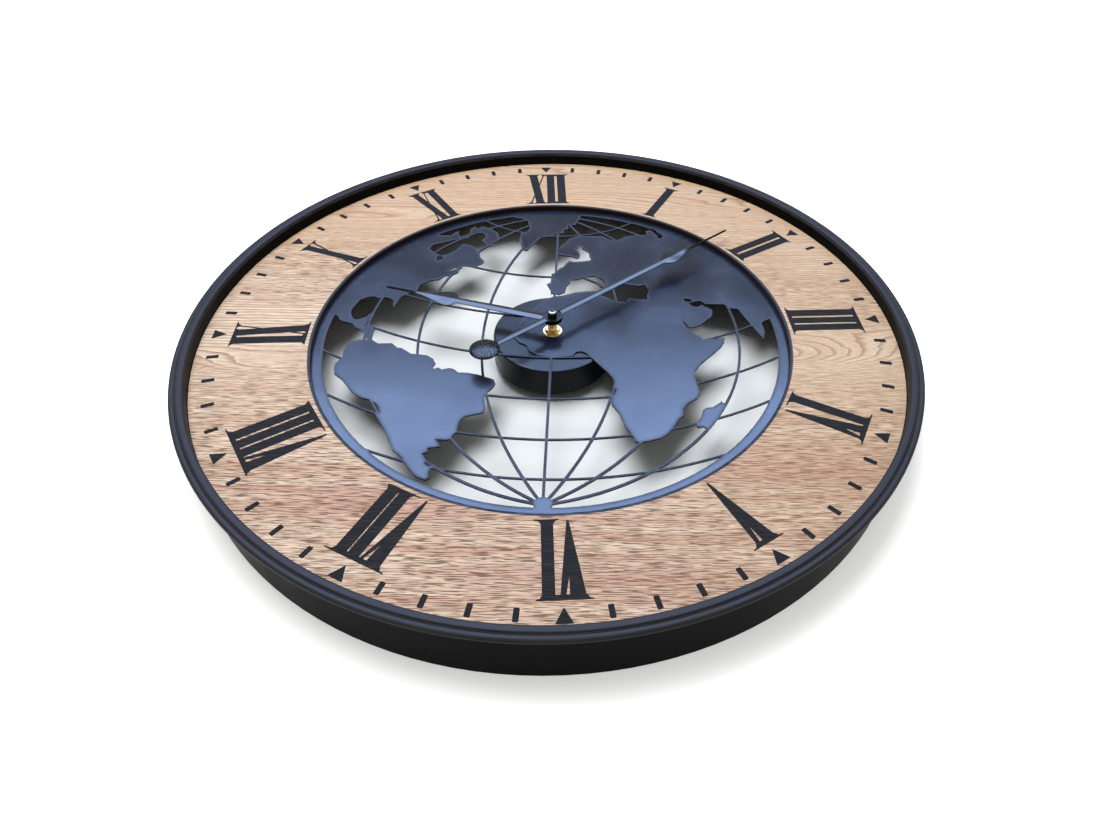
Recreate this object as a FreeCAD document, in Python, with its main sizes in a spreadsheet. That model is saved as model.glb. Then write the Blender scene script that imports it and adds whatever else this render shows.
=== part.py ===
"""World time clock: an open map plate behind a wooden hour ring, in a round steel case.

The clock lies on its back as on a table: +Z leaves the dial, +Y points to twelve o'clock, +X to
three o'clock, and the origin is the centre of the back rim. Lengths are millimetres.
"""
import FreeCAD, Part
import Sketcher
import math
import os

os.makedirs("parts", exist_ok=True)
document = FreeCAD.newDocument("world_time_clock")

# Driving dimensions: name, value, meaning
SIZES = [
    # case
    ("band_radius", 290.5, "outer radius of the steel side band"),
    ("band_wall", 1.2, "thickness of the side band"),
    ("bezel_overhang", 9.5, "reach of the front bezel past the side band"),
    ("bezel_shoulder", 1.9, "height of the bezel's outer edge over the band"),
    ("bezel_rise", 4.2, "height of the bezel's inner bead over the band"),
    ("bead_width", 5.2, "width of the bezel's inner bead"),
    ("bead_groove", 1.2, "width of the groove between the bezel's beads"),
    ("groove_drop", 1.5, "depth of that groove under the inner bead"),
    ("outer_bead_drop", 0.8, "height of the outer bead under the inner bead"),
    ("bezel_skirt_wall", 1.2, "thickness of the skirt that grips the band"),
    ("bezel_skirt_depth", 4.0, "depth of that skirt below the band's edge"),
    ("bead_ease", 1.9, "easing of the beads at the rim's two edges"),
    ("groove_ease", 0.6, "easing of the beads at the groove"),
    ("grip_gap", 0.15, "clearance between the skirt and the band"),
    # dial
    ("dial_height", 40, "height of the dial's face over the back rim"),
    ("dial_well", 9.5, "depth of the dial's face under the band's front edge"),
    ("ring_thickness", 5, "thickness of the wooden hour ring"),
    ("ring_inner_radius", 198.5, "inner radius of the hour ring"),
    ("ring_gap", 0.4, "clearance round the hour ring"),
    ("ring_edge_break", 0.4, "break of the hour ring's inner edge"),
    # map plate
    ("plate_thickness", 1.2, "thickness of the map plate"),
    ("plate_lap", 13.5, "lap of the map plate behind the hour ring"),
    ("map_rim", 8.5, "width of the plate's rim that shows inside the hour ring"),
    ("meridian_width", 2.1, "width of the bars along the meridians"),
    ("parallel_width", 1.6, "width of the bars along the parallels"),
    ("pole_radius", 6.5, "radius of the lump where the meridians meet"),
    ("map_turn", -3.5, "angle by which the plate was turned when it was fitted"),
    ("plate_bore_gap", 0.2, "clearance of the bush in the plate"),
    # screws
    ("screw_radius", 1.45, "radius of the wood screws"),
    ("screw_hole_gap", 0.1, "clearance round a screw"),
    ("screw_head_radius", 3.0, "radius of the screw heads"),
    ("screw_head_height", 1.7, "height of the screw heads"),
    ("screw_bite", 3.6, "length of a screw in the wood"),
    ("screw_hole_end", 0.4, "spare depth of a screw's hole"),
    ("plate_screw_inset", 7, "distance of the plate screws from the hour ring's inner edge"),
    ("bracket_screw_inset", 15.3, "distance of the bracket screws from the band"),
    ("bracket_length", 24, "reach of a bracket from the band"),
    ("bracket_width", 22, "width of a bracket"),
    ("bracket_wall", 1.2, "thickness of a bracket"),
    ("bracket_leg", 16, "height of a bracket's leg on the band"),
    ("bracket_bend", 1.0, "rounding of a bracket's bend"),
    ("weld_gap", 0.1, "gap between a bracket's leg and the band"),
    # hanger
    ("hanger_width", 46, "width of the keyhole hanger"),
    ("hanger_margin", 4, "width left between the keyhole and the hanger's edge"),
    ("hanger_wall", 1.5, "thickness of the hanger"),
    ("hanger_lift", 3, "height of the hanger over the back rim"),
    ("hanger_leg", 14, "height of the hanger's leg on the band"),
    ("keyhole_radius", 5, "radius of the keyhole's round end"),
    ("keyhole_slot_radius", 2.4, "half width of the keyhole's slot"),
    ("keyhole_slot_length", 9, "length of the keyhole's slot from its round end"),
    ("keyhole_inset", 18, "distance of the keyhole's round end from the band"),
    ("hanger_corner", 4, "rounding of the hanger's corners"),
    # movement cup
    ("cup_gap", 15.2, "room between the movement case's lowest edge and the cup"),
    ("cup_depth", 25, "depth of that cup"),
    ("cup_wall", 0.8, "thickness of the cup"),
    ("cup_ease", 1.6, "easing of the cup's front edge"),
    ("cup_bore_gap", 0.3, "clearance of the bush in the cup"),
    # what holds the movement
    ("gasket_radius", 11, "radius of the rubber washer"),
    ("gasket_thickness", 1, "thickness of the rubber washer"),
    ("washer_radius", 8.3, "radius of the brass washer"),
    ("washer_thickness", 0.9, "thickness of the brass washer"),
    ("nut_wall", 1.5, "wall of the bush nut at its flats"),
    ("nut_height", 2.2, "height of the bush nut"),
    ("bush_radius", 4, "radius of the threaded bush"),
    ("bush_reach", 10, "reach of the bush over the map plate"),
    ("bush_flange_radius", 5.6, "radius of the bush's flange in the case"),
    ("bush_flange_thickness", 0.5, "thickness of that flange"),
    ("slip_gap", 0.05, "clearance of pieces that are slipped together"),
    # movement case
    ("case_wall", 1.2, "wall of the movement case"),
    ("case_corner", 3, "rounding of the movement case's corners"),
    ("front_room", 0.8, "room between the hour wheel and the case's front"),
    ("case_split", 7.6, "height of the case's parting line over its back"),
    ("bay_room", 1.4, "room for the battery in its bay"),
    ("bay_wall", 1.0, "wall between the battery bay and the train"),
    ("battery_radius", 7.1, "radius of the battery"),
    ("battery_length", 49.2, "length of the battery without its nub"),
    ("nub_radius", 2.6, "radius of the battery's nub"),
    ("nub_length", 1.1, "length of the battery's nub"),
    ("contact_room", 1.65, "room for a contact at each end of the battery"),
    ("contact_wall", 0.4, "thickness of the battery contacts"),
    ("contact_width", 8, "width of the battery contacts"),
    ("contact_height", 9, "height of the battery contacts"),
    ("contact_gap", 0.1, "gap between a contact and what it touches"),
    # arbors and hands
    ("arbor_radius", 1.68, "radius of the minute arbor"),
    ("arbor_foot_radius", 0.9, "radius of the minute arbor below its pinion"),
    ("arbor_thread_radius", 1.45, "radius of the minute arbor's threaded end"),
    ("pivot_radius", 0.5, "radius of the pivots"),
    ("pivot_length", 1.0, "length of the pivots"),
    ("pivot_gap", 0.05, "clearance round a pivot"),
    ("boss_wall", 0.7, "wall of a bearing boss"),
    ("end_play", 0.2, "end play of the arbors"),
    ("tube_radius", 2.55, "outer radius of the hour wheel's tube"),
    ("tube_gap", 0.1, "clearance of the tube in the bush"),
    ("arbor_gap", 0.08, "clearance of the minute arbor in the tube"),
    ("collar_gap", 0.7, "gap between the bush and the hour hand's collar"),
    ("tube_end", 0.1, "length of the tube that stands out of the hour hand"),
    ("hour_hand_length", 152.5, "length of the hour hand"),
    ("hour_hand_width", 8, "width of the hour hand's stock"),
    ("hour_leaf_width", 19, "width of the hour hand's leaf"),
    ("hands_gap", 2.1, "gap between the tube's end and the minute hand"),
    ("minute_hand_length", 213.5, "length of the minute hand"),
    ("minute_hand_width", 5.6, "width of the minute hand's stock"),
    ("minute_leaf_width", 16, "width of the minute hand's leaf"),
    ("needle_width", 1.8, "width of the hands at their tips"),
    ("hand_thickness", 0.8, "thickness of the hands' edges"),
    ("hand_ridge", 0.9, "height of the hands' ridge over their edges"),
    ("hub_disc_radius", 8.3, "radius of the hands' hub discs"),
    ("collar_wall", 1.5, "wall of the hour hand's collar"),
    ("hub_collar_length", 2.2, "length of the hour hand's collar"),
    ("counterweight_radius", 12.3, "radius of the minute hand's counterweight"),
    ("counterweight_reach", 69, "distance of the counterweight from the axis"),
    ("counterweight_rim", 1.2, "height of the counterweight's straight rim"),
    ("counterweight_dome", 2.6, "height of the counterweight's dome"),
    ("cap_wall", 2.65, "wall of the cap nut round its thread"),
    ("cap_height", 5.3, "height of the cap nut"),
    ("cap_ease", 1.0, "easing of the cap nut's top"),
    ("hour_hand_angle", 289.5, "clock angle of the hour hand"),
    ("minute_hand_angle", 53, "clock angle of the minute hand"),
    # gear train, heights over the movement case's back
    ("motion_distance", 10, "distance of the motion work's two axes"),
    ("third_distance", 9, "distance of the third wheel from the centre wheel"),
    ("second_distance", 6.8, "distance of the second wheel from the third wheel"),
    ("transfer_distance", 6.2, "distance of the transfer wheel from the second wheel"),
    ("rotor_distance", 4.8, "distance of the rotor from the transfer wheel"),
    ("wheel_thickness", 0.8, "thickness of the wheels"),
    ("pinion_overlap", 0.3, "overlap of a pinion past its wheel"),
    ("second_wheel_level", 2.9, "level of the second wheel"),
    ("third_wheel_gap", 1.2, "gap between the second wheel and the third wheel"),
    ("centre_wheel_gap", 1.1, "gap between the third wheel and the centre wheel"),
    ("train_plate_gap", 0.9, "gap between the centre wheel and the train plate"),
    ("minute_wheel_gap", 1.3, "gap between the train plate and the minute wheel"),
    ("hour_wheel_gap", 1.1, "gap between the minute wheel and the hour wheel"),
    ("train_plate_thickness", 1.0, "thickness of the train plate"),
    ("magnet_radius", 1.7, "radius of the rotor's magnet"),
    ("magnet_length", 1.4, "length of the rotor's magnet"),
    ("stator_hole_gap", 0.4, "gap between the magnet and the stator"),
    ("stator_ring_wall", 1.1, "wall of the stator round the rotor"),
    ("stator_thickness", 0.8, "thickness of the stator"),
    ("stator_arm_width", 3.2, "width of the stator's arms"),
    ("coil_radius", 2.9, "radius of the coil"),
    ("coil_length", 15, "length of the coil"),
    ("coil_core_radius", 1.0, "radius of the coil's core"),
    ("bobbin_flange", 0.7, "thickness of the bobbin's flanges"),
    ("coil_distance", 17.5, "distance of the coil from the hands' axis"),
    ("coil_offset", 9, "offset of the coil to the side"),
    ("coil_room", 0.4, "room between the coil and the case"),
    ("board_width", 9, "width of the circuit board"),
    ("board_length", 24, "length of the circuit board"),
    ("board_thickness", 0.8, "thickness of the circuit board"),
    ("board_level", 2.2, "level of the circuit board"),
    ("crystal_radius", 1.5, "radius of the quartz crystal's can"),
    ("crystal_length", 8, "length of the quartz crystal's can"),
    ("post_radius", 1.4, "radius of the posts that carry the board and plate"),
    ("knob_radius", 5.5, "radius of the setting knob"),
    ("knob_height", 3, "height of the setting knob"),
    ("knob_gap", 0.4, "gap between the setting knob and the case"),
    ("knob_stem_radius", 1.5, "radius of the setting knob's stem"),
    ("rib_depth", 0.35, "depth of the setting knob's ribs"),
    ("overrun", 1, "extra length of a cut past the face that it opens"),
]

sheet = document.addObject("Spreadsheet::Sheet", "sizes")
for row, (name, value, meaning) in enumerate(SIZES, 1):
    sheet.set(f"A{row}", name)
    sheet.set(f"B{row}", str(value))
    sheet.set(f"C{row}", meaning)
    sheet.setAlias(f"B{row}", name)
document.recompute()


def size(expression):
    """Value of an expression in the sheet's names."""
    return float(sheet.evalExpression(expression))


# Levels of the wheels over the movement case's back
LEVELS = {"second": "sizes.second_wheel_level"}
for upper, lower, gap in (("third", "second", "third_wheel_gap"), ("centre", "third", "centre_wheel_gap"),
                          ("plate", "centre", "train_plate_gap")):
    LEVELS[upper] = f"({LEVELS[lower]} + sizes.wheel_thickness + sizes.{gap})"
LEVELS["minute"] = f"({LEVELS['plate']} + sizes.train_plate_thickness + sizes.minute_wheel_gap)"
LEVELS["hour"] = f"({LEVELS['minute']} + sizes.wheel_thickness + sizes.hour_wheel_gap)"
CASE_DEPTH = f"({LEVELS['hour']} + sizes.wheel_thickness + sizes.front_room + sizes.case_wall)"

# Heights that several pieces share
BAND_TOP = "sizes.dial_height + sizes.dial_well"
PLATE_TOP = "sizes.dial_height - sizes.ring_thickness"
PLATE_BACK = f"{PLATE_TOP} - sizes.plate_thickness"
CUP_BACK = f"{PLATE_BACK} - sizes.cup_depth"
CUP_SEAT = f"{PLATE_BACK} - sizes.cup_wall"
CASE_FRONT = f"{CUP_SEAT} - sizes.gasket_thickness"
CASE_BACK = f"{CASE_FRONT} - {CASE_DEPTH}"
CASE_PART = f"{CASE_BACK} + sizes.case_split"
BUSH_TOP = f"{PLATE_TOP} + sizes.bush_reach"
HOUR_HAND_LOW = f"{BUSH_TOP} + sizes.collar_gap + sizes.hub_collar_length"
TUBE_TOP = f"{HOUR_HAND_LOW} + sizes.hand_thickness + sizes.tube_end"
MINUTE_HAND_LOW = f"{TUBE_TOP} + sizes.hands_gap"

# Radii and widths that several pieces share
BAND_INSIDE = "sizes.band_radius - sizes.band_wall"
BEZEL_RADIUS = "(sizes.band_radius + sizes.bezel_overhang)"
PLATE_RADIUS = "(sizes.ring_inner_radius + sizes.plate_lap)"
MAP_RADIUS = "(sizes.ring_inner_radius - sizes.map_rim)"
PLATE_SCREW_CIRCLE = "(sizes.ring_inner_radius + sizes.plate_screw_inset)"
BRACKET_SCREW_CIRCLE = f"({BAND_INSIDE} - sizes.bracket_screw_inset)"
PLATE_BORE = "(sizes.bush_radius + sizes.plate_bore_gap)"
CUP_BORE = "(sizes.bush_radius + sizes.cup_bore_gap)"
BUSH_BORE = "(sizes.tube_radius + sizes.tube_gap)"
TUBE_BORE = "(sizes.arbor_radius + sizes.arbor_gap)"
CAP_RADIUS = "(sizes.arbor_thread_radius + sizes.cap_wall)"
COLLAR_RADIUS = "(sizes.tube_radius + sizes.slip_gap + sizes.collar_wall)"
NUT_REACH = "(sizes.bush_radius + sizes.nut_wall)"
HANGER_REACH = "(sizes.keyhole_inset + sizes.keyhole_radius + sizes.hanger_margin)"
CASE_WIDTH = "(sizes.battery_length + sizes.nub_length + 2 * (sizes.case_wall + sizes.contact_room))"
HALF_CASE = f"({CASE_WIDTH} / 2)"
CASE_HIGH = "(sizes.coil_distance + sizes.coil_radius + sizes.coil_room + sizes.case_wall)"
CASE_LOW = f"({CASE_HIGH} - {CASE_WIDTH})"
BAY_HEIGHT = "(2 * sizes.battery_radius + sizes.bay_room)"
BAY_TOP = f"({CASE_LOW} + sizes.case_wall + {BAY_HEIGHT})"
BAY_CENTRE = f"({CASE_LOW} + sizes.case_wall + {BAY_HEIGHT} / 2)"
CUP_RADIUS = f"(sizes.cup_gap + sizes.cup_wall - {CASE_LOW})"


# Counts
PLATE_SCREWS = 8
BRACKETS = 6

# Where the middle of a quarter round lies, as a share of its radius from the corner
EASE_SHARE = 0.3


# Building blocks

def origin_plane(body, role):
    return next(item for item in body.Origin.OriginFeatures if item.Role == role)


def new_body(label, several=False):
    body = document.addObject("PartDesign::Body", label)
    body.AllowCompound = several
    return body


def sketch_on(body, name, role="XY_Plane", height="0"):
    """Sketch on one of the body's own origin planes, raised by height."""
    sketch = body.newObject("Sketcher::SketchObject", name)
    sketch.AttachmentSupport = [(origin_plane(body, role), "")]
    sketch.MapMode = "FlatFace"
    if height != "0":
        sketch.setExpression("AttachmentOffset.Base.z", height)
    return sketch


def bind_point(sketch, geometry, position, across, up):
    """Hold a point of the sketch at two expressions."""
    for kind, expression, axis in (("DistanceX", across, -2), ("DistanceY", up, -1)):
        if expression == "0":
            sketch.addConstraint(Sketcher.Constraint("PointOnObject", geometry, position, axis))
            continue
        datum = Sketcher.Constraint(kind, -1, 1, geometry, position, size(expression))
        index = sketch.addConstraint(datum)
        sketch.setExpression(f"Constraints[{index}]", expression)


def draw_outline(sketch, corners):
    """Closed outline of straight edges through corners given as expression pairs."""
    places = [FreeCAD.Vector(size(across), size(up), 0) for across, up in corners]
    first = sketch.GeometryCount
    count = len(corners)
    for index in range(count):
        edge = Part.LineSegment(places[index], places[(index + 1) % count])
        sketch.addGeometry(edge, False)
    for index in range(count):
        after = first + (index + 1) % count
        sketch.addConstraint(Sketcher.Constraint("Coincident", first + index, 2, after, 1))
    for index, (across, up) in enumerate(corners):
        bind_point(sketch, first + index, 1, across, up)


def draw_rectangle(sketch, left, right, low, high):
    draw_outline(sketch, [(left, low), (right, low), (right, high), (left, high)])


def draw_circle(sketch, radius, across="0", up="0"):
    centre = FreeCAD.Vector(size(across), size(up), 0)
    circle = Part.Circle(centre, FreeCAD.Vector(0, 0, 1), size(radius))
    geometry = sketch.addGeometry(circle, False)
    bind_point(sketch, geometry, 3, across, up)
    index = sketch.addConstraint(Sketcher.Constraint("Radius", geometry, size(radius)))
    sketch.setExpression(f"Constraints[{index}]", radius)


def pad(body, sketch, length, down=False):
    feature = body.newObject("PartDesign::Pad", sketch.Name + "_pad")
    feature.Profile = sketch
    feature.setExpression("Length", length)
    feature.Reversed = down
    document.recompute()
    return feature


def pocket(body, sketch, depth, upward=False):
    """Cut below the sketch, or above it, and make sure that something was cut."""
    before = body.Shape.Volume
    feature = body.newObject("PartDesign::Pocket", sketch.Name + "_cut")
    feature.Profile = sketch
    feature.setExpression("Length", depth)
    feature.Reversed = upward
    document.recompute()
    if not body.Shape.Volume < before:
        raise ValueError(f"{feature.Name} cuts nothing")
    return feature


def turned(body, name, corners):
    """Revolve an outline of (radius, height) corners about the hands' axis."""
    sketch = sketch_on(body, name, "XZ_Plane")
    draw_outline(sketch, corners)
    feature = body.newObject("PartDesign::Revolution", name + "_turn")
    feature.Profile = sketch
    feature.ReferenceAxis = (sketch, ["V_Axis"])
    feature.Angle = 360
    document.recompute()
    return feature


def eased(radius, height, ease, inward):
    """Three section points for a turned piece's top corner, its edge eased in two facets.

    They run up the corner's side, which is its inner one if inward is true, and onto the top.
    """
    sign = "+" if inward else "-"
    return [
        (radius, f"{height} - {ease}"),
        (f"{radius} {sign} {EASE_SHARE} * {ease}", f"{height} - {EASE_SHARE} * {ease}"),
        (f"{radius} {sign} {ease}", height),
    ]


def repeated(body, features, count):
    """Repeat features round the hands' axis."""
    pattern = body.newObject("PartDesign::PolarPattern", body.Name + "_pattern")
    pattern.Originals = features
    pattern.Axis = (origin_plane(body, "Z_Axis"), [""])
    pattern.Angle = 360
    pattern.Occurrences = count
    body.Tip = pattern
    document.recompute()
    return pattern


def edge_names(feature, wanted):
    """Names of the edges of a feature that a test picks."""
    return [f"Edge{index}" for index, edge in enumerate(feature.Shape.Edges, 1) if wanted(edge)]


def rounded(body, feature, radius, wanted, kind="Fillet"):
    names = edge_names(feature, wanted)
    if not names:
        raise ValueError(f"{feature.Name} has no such edge")
    dress = body.newObject(f"PartDesign::{kind}", f"{feature.Name}_{kind.lower()}")
    dress.Base = (feature, names)
    dress.setExpression("Radius" if kind == "Fillet" else "Size", radius)
    document.recompute()
    return dress


def near(value, expression):
    """Whether a measured value is an expression's value, within a thousandth of it."""
    target = size(expression)
    return abs(value - target) <= abs(target) / 1000


def is_circle_at(edge, radius, height):
    round_edge = isinstance(edge.Curve, Part.Circle)
    return round_edge and near(edge.Curve.Radius, radius) and near(edge.Curve.Center.z, height)


def is_upright(edge):
    """Whether an edge runs straight along Z."""
    if not isinstance(edge.Curve, (Part.Line, Part.LineSegment)):
        return False
    return abs(edge.tangentAt(edge.FirstParameter).z) > 0.999


def turned_by(degrees, place=FreeCAD.Vector()):
    """Placement at a place, turned about the hands' axis direction."""
    return FreeCAD.Placement(place, FreeCAD.Rotation(FreeCAD.Vector(0, 0, 1), degrees))


def shaped(label, shape):
    """A sub-part whose shape is made directly; its Placement is set afterwards."""
    feature = document.addObject("Part::Feature", label)
    feature.Shape = shape
    return feature


def ring_shape(outer, inner, low, high):
    """Washer-shaped solid between two heights, in numbers."""
    base = FreeCAD.Vector(0, 0, low)
    shape = Part.makeCylinder(outer, high - low, base)
    if inner > 0:
        shape = shape.cut(Part.makeCylinder(inner, high - low, base))
    return shape


# Case

def make_side_band():
    body = new_body("side_band")
    turned(body, "band_section", [
        (BAND_INSIDE, "0"),
        ("sizes.band_radius", "0"),
        ("sizes.band_radius", BAND_TOP),
        (BAND_INSIDE, BAND_TOP),
    ])


def make_front_bezel():
    """Rolled rim of two beads with a groove between them and a skirt that grips the band."""
    body = new_body("front_bezel")
    top = f"{BAND_TOP} + sizes.bezel_rise"
    groove = f"{top} - sizes.groove_drop"
    outer_top = f"{top} - sizes.outer_bead_drop"
    skirt = "sizes.band_radius + sizes.grip_gap"
    skirt_end = f"{BAND_TOP} - sizes.bezel_skirt_depth"
    groove_inner = f"{BAND_INSIDE} + sizes.bead_width"
    groove_outer = f"{groove_inner} + sizes.bead_groove"
    outer_corner = eased(BEZEL_RADIUS, outer_top, "sizes.bead_ease", inward=False)
    inner_corner = eased(BAND_INSIDE, top, "sizes.bead_ease", inward=True)
    outer_bead_end = eased(groove_outer, outer_top, "sizes.groove_ease", inward=True)
    inner_bead_end = eased(groove_inner, top, "sizes.groove_ease", inward=False)
    turned(body, "bezel_section", [
        (BAND_INSIDE, BAND_TOP),
        (skirt, BAND_TOP),
        (skirt, skirt_end),
        (f"{skirt} + sizes.bezel_skirt_wall", skirt_end),
        (f"{skirt} + sizes.bezel_skirt_wall", BAND_TOP),
        (BEZEL_RADIUS, BAND_TOP),
        *outer_corner,
        *reversed(outer_bead_end),
        (groove_outer, groove),
        (groove_inner, groove),
        *inner_bead_end,
        *reversed(inner_corner),
    ])


def make_dial_ring():
    """Veneered board ring with blind holes for its screws."""
    body = new_body("dial_ring")
    outer = f"{BAND_INSIDE} - sizes.ring_gap"
    board = turned(body, "board_section", [
        ("sizes.ring_inner_radius", PLATE_TOP),
        (outer, PLATE_TOP),
        (outer, "sizes.dial_height"),
        ("sizes.ring_inner_radius", "sizes.dial_height"),
    ])
    rounded(body, board, "sizes.ring_edge_break",
            lambda edge: is_circle_at(edge, "sizes.ring_inner_radius", "sizes.dial_height"), "Chamfer")
    hole = "sizes.screw_radius + sizes.screw_hole_gap"
    depth = "sizes.screw_bite + sizes.screw_hole_end"
    sketch = sketch_on(body, "screw_holes", height=PLATE_TOP)
    for circle, count in ((PLATE_SCREW_CIRCLE, PLATE_SCREWS),
                          (BRACKET_SCREW_CIRCLE, BRACKETS)):
        for index in range(count):
            turn = 360 * (index + 0.5) / count
            draw_circle(sketch, hole, f"{circle} * cos({turn})", f"{circle} * sin({turn})")
    pocket(body, sketch, depth, upward=True)


def make_brackets():
    """Bent tabs, welded to the band, that carry the hour ring."""
    body = new_body("ring_brackets", several=True)
    tab_top = f"{PLATE_TOP}"
    tab_low = f"{PLATE_TOP} - sizes.bracket_wall"
    outside = f"{BAND_INSIDE} - sizes.weld_gap"
    sketch = sketch_on(body, "bracket_side", "XZ_Plane")
    draw_outline(sketch, [
        (f"{outside} - sizes.bracket_length", tab_top),
        (f"{outside} - sizes.bracket_length", tab_low),
        (f"{outside} - sizes.bracket_wall", tab_low),
        (f"{outside} - sizes.bracket_wall", f"{PLATE_TOP} - sizes.bracket_leg"),
        (outside, f"{PLATE_TOP} - sizes.bracket_leg"),
        (outside, tab_top),
    ])
    tab = pad(body, sketch, "sizes.bracket_width")
    tab.Midplane = True
    document.recompute()
    band_cut = sketch_on(body, "band_trim")
    draw_circle(band_cut, outside)
    draw_circle(band_cut, BEZEL_RADIUS)
    trim = pocket(body, band_cut, "sizes.dial_height", upward=True)
    hole_sketch = sketch_on(body, "bracket_hole", height=f"{tab_low} - sizes.overrun")
    draw_circle(hole_sketch, "sizes.screw_radius + sizes.screw_hole_gap", BRACKET_SCREW_CIRCLE)
    hole = pocket(body, hole_sketch, "sizes.bracket_wall + 2 * sizes.overrun", upward=True)
    bend = rounded(body, hole, "sizes.bracket_bend",
                   lambda edge: is_inner_bend(edge, f"{outside} - sizes.bracket_wall", tab_low))
    repeated(body, [tab, trim, hole, bend], BRACKETS)
    body.Placement = turned_by(180 / BRACKETS)


def is_inner_bend(edge, radius, height):
    """Whether an edge runs along Y at this radius and height."""
    if not isinstance(edge.Curve, (Part.Line, Part.LineSegment)):
        return False
    middle = edge.CenterOfMass
    return near(middle.x, radius) and near(middle.z, height)


def make_screws(label, circle, count, head_top):
    """Pan-head screws that enter the hour ring from behind."""
    body = new_body(label, several=True)
    head_low = f"{head_top} - sizes.screw_head_height"
    head_sketch = sketch_on(body, label + "_head", height=head_low)
    draw_circle(head_sketch, "sizes.screw_head_radius", circle)
    head = pad(body, head_sketch, "sizes.screw_head_height")
    shank_sketch = sketch_on(body, label + "_shank", height=head_top)
    draw_circle(shank_sketch, "sizes.screw_radius", circle)
    shank = pad(body, shank_sketch, f"{PLATE_TOP} - ({head_top}) + sizes.screw_bite")
    repeated(body, [head, shank], count)
    body.Placement = turned_by(180 / count)


def make_hanger():
    """Keyhole hanger: a bent tab welded inside the band at twelve o'clock."""
    body = new_body("keyhole_hanger")
    outside = f"{BAND_INSIDE} - sizes.weld_gap"
    low = "sizes.hanger_lift"
    high = f"{low} + sizes.hanger_wall"
    inner = f"{outside} - {HANGER_REACH}"
    plate_sketch = sketch_on(body, "hanger_outline", height=low)
    draw_rectangle(plate_sketch, "-sizes.hanger_width / 2", "sizes.hanger_width / 2", inner, outside)
    pad(body, plate_sketch, "sizes.hanger_wall")
    leg_sketch = sketch_on(body, "hanger_leg", height=high)
    leg_inner = f"{outside} - 2 * sizes.hanger_wall"
    draw_rectangle(leg_sketch, "-sizes.hanger_width / 2", "sizes.hanger_width / 2", leg_inner, outside)
    pad(body, leg_sketch, "sizes.hanger_leg")
    trim_sketch = sketch_on(body, "hanger_trim")
    draw_circle(trim_sketch, outside)
    draw_circle(trim_sketch, BEZEL_RADIUS)
    pocket(body, trim_sketch, "sizes.dial_height", upward=True)
    hole_sketch = sketch_on(body, "keyhole", height=f"{low} - sizes.overrun")
    centre = f"{outside} - sizes.keyhole_inset"
    draw_circle(hole_sketch, "sizes.keyhole_radius", "0", centre)
    through = "sizes.hanger_wall + 2 * sizes.overrun"
    pocket(body, hole_sketch, through, upward=True)
    slot_sketch = sketch_on(body, "keyhole_slot", height=f"{low} - sizes.overrun")
    slot_end = f"{centre} + sizes.keyhole_slot_length"
    draw_rectangle(slot_sketch, "-sizes.keyhole_slot_radius", "sizes.keyhole_slot_radius", centre, slot_end)
    pocket(body, slot_sketch, through, upward=True)
    end_sketch = sketch_on(body, "keyhole_end", height=f"{low} - sizes.overrun")
    draw_circle(end_sketch, "sizes.keyhole_slot_radius", "0", slot_end)
    cut = pocket(body, end_sketch, through, upward=True)
    rounded(body, cut, "sizes.hanger_corner",
            lambda edge: is_upright(edge) and near(edge.CenterOfMass.y, inner)
            and near(abs(edge.CenterOfMass.x), "sizes.hanger_width / 2"))


# Map plate: the coasts are shares of the globe circle's radius, walked round each land

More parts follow.
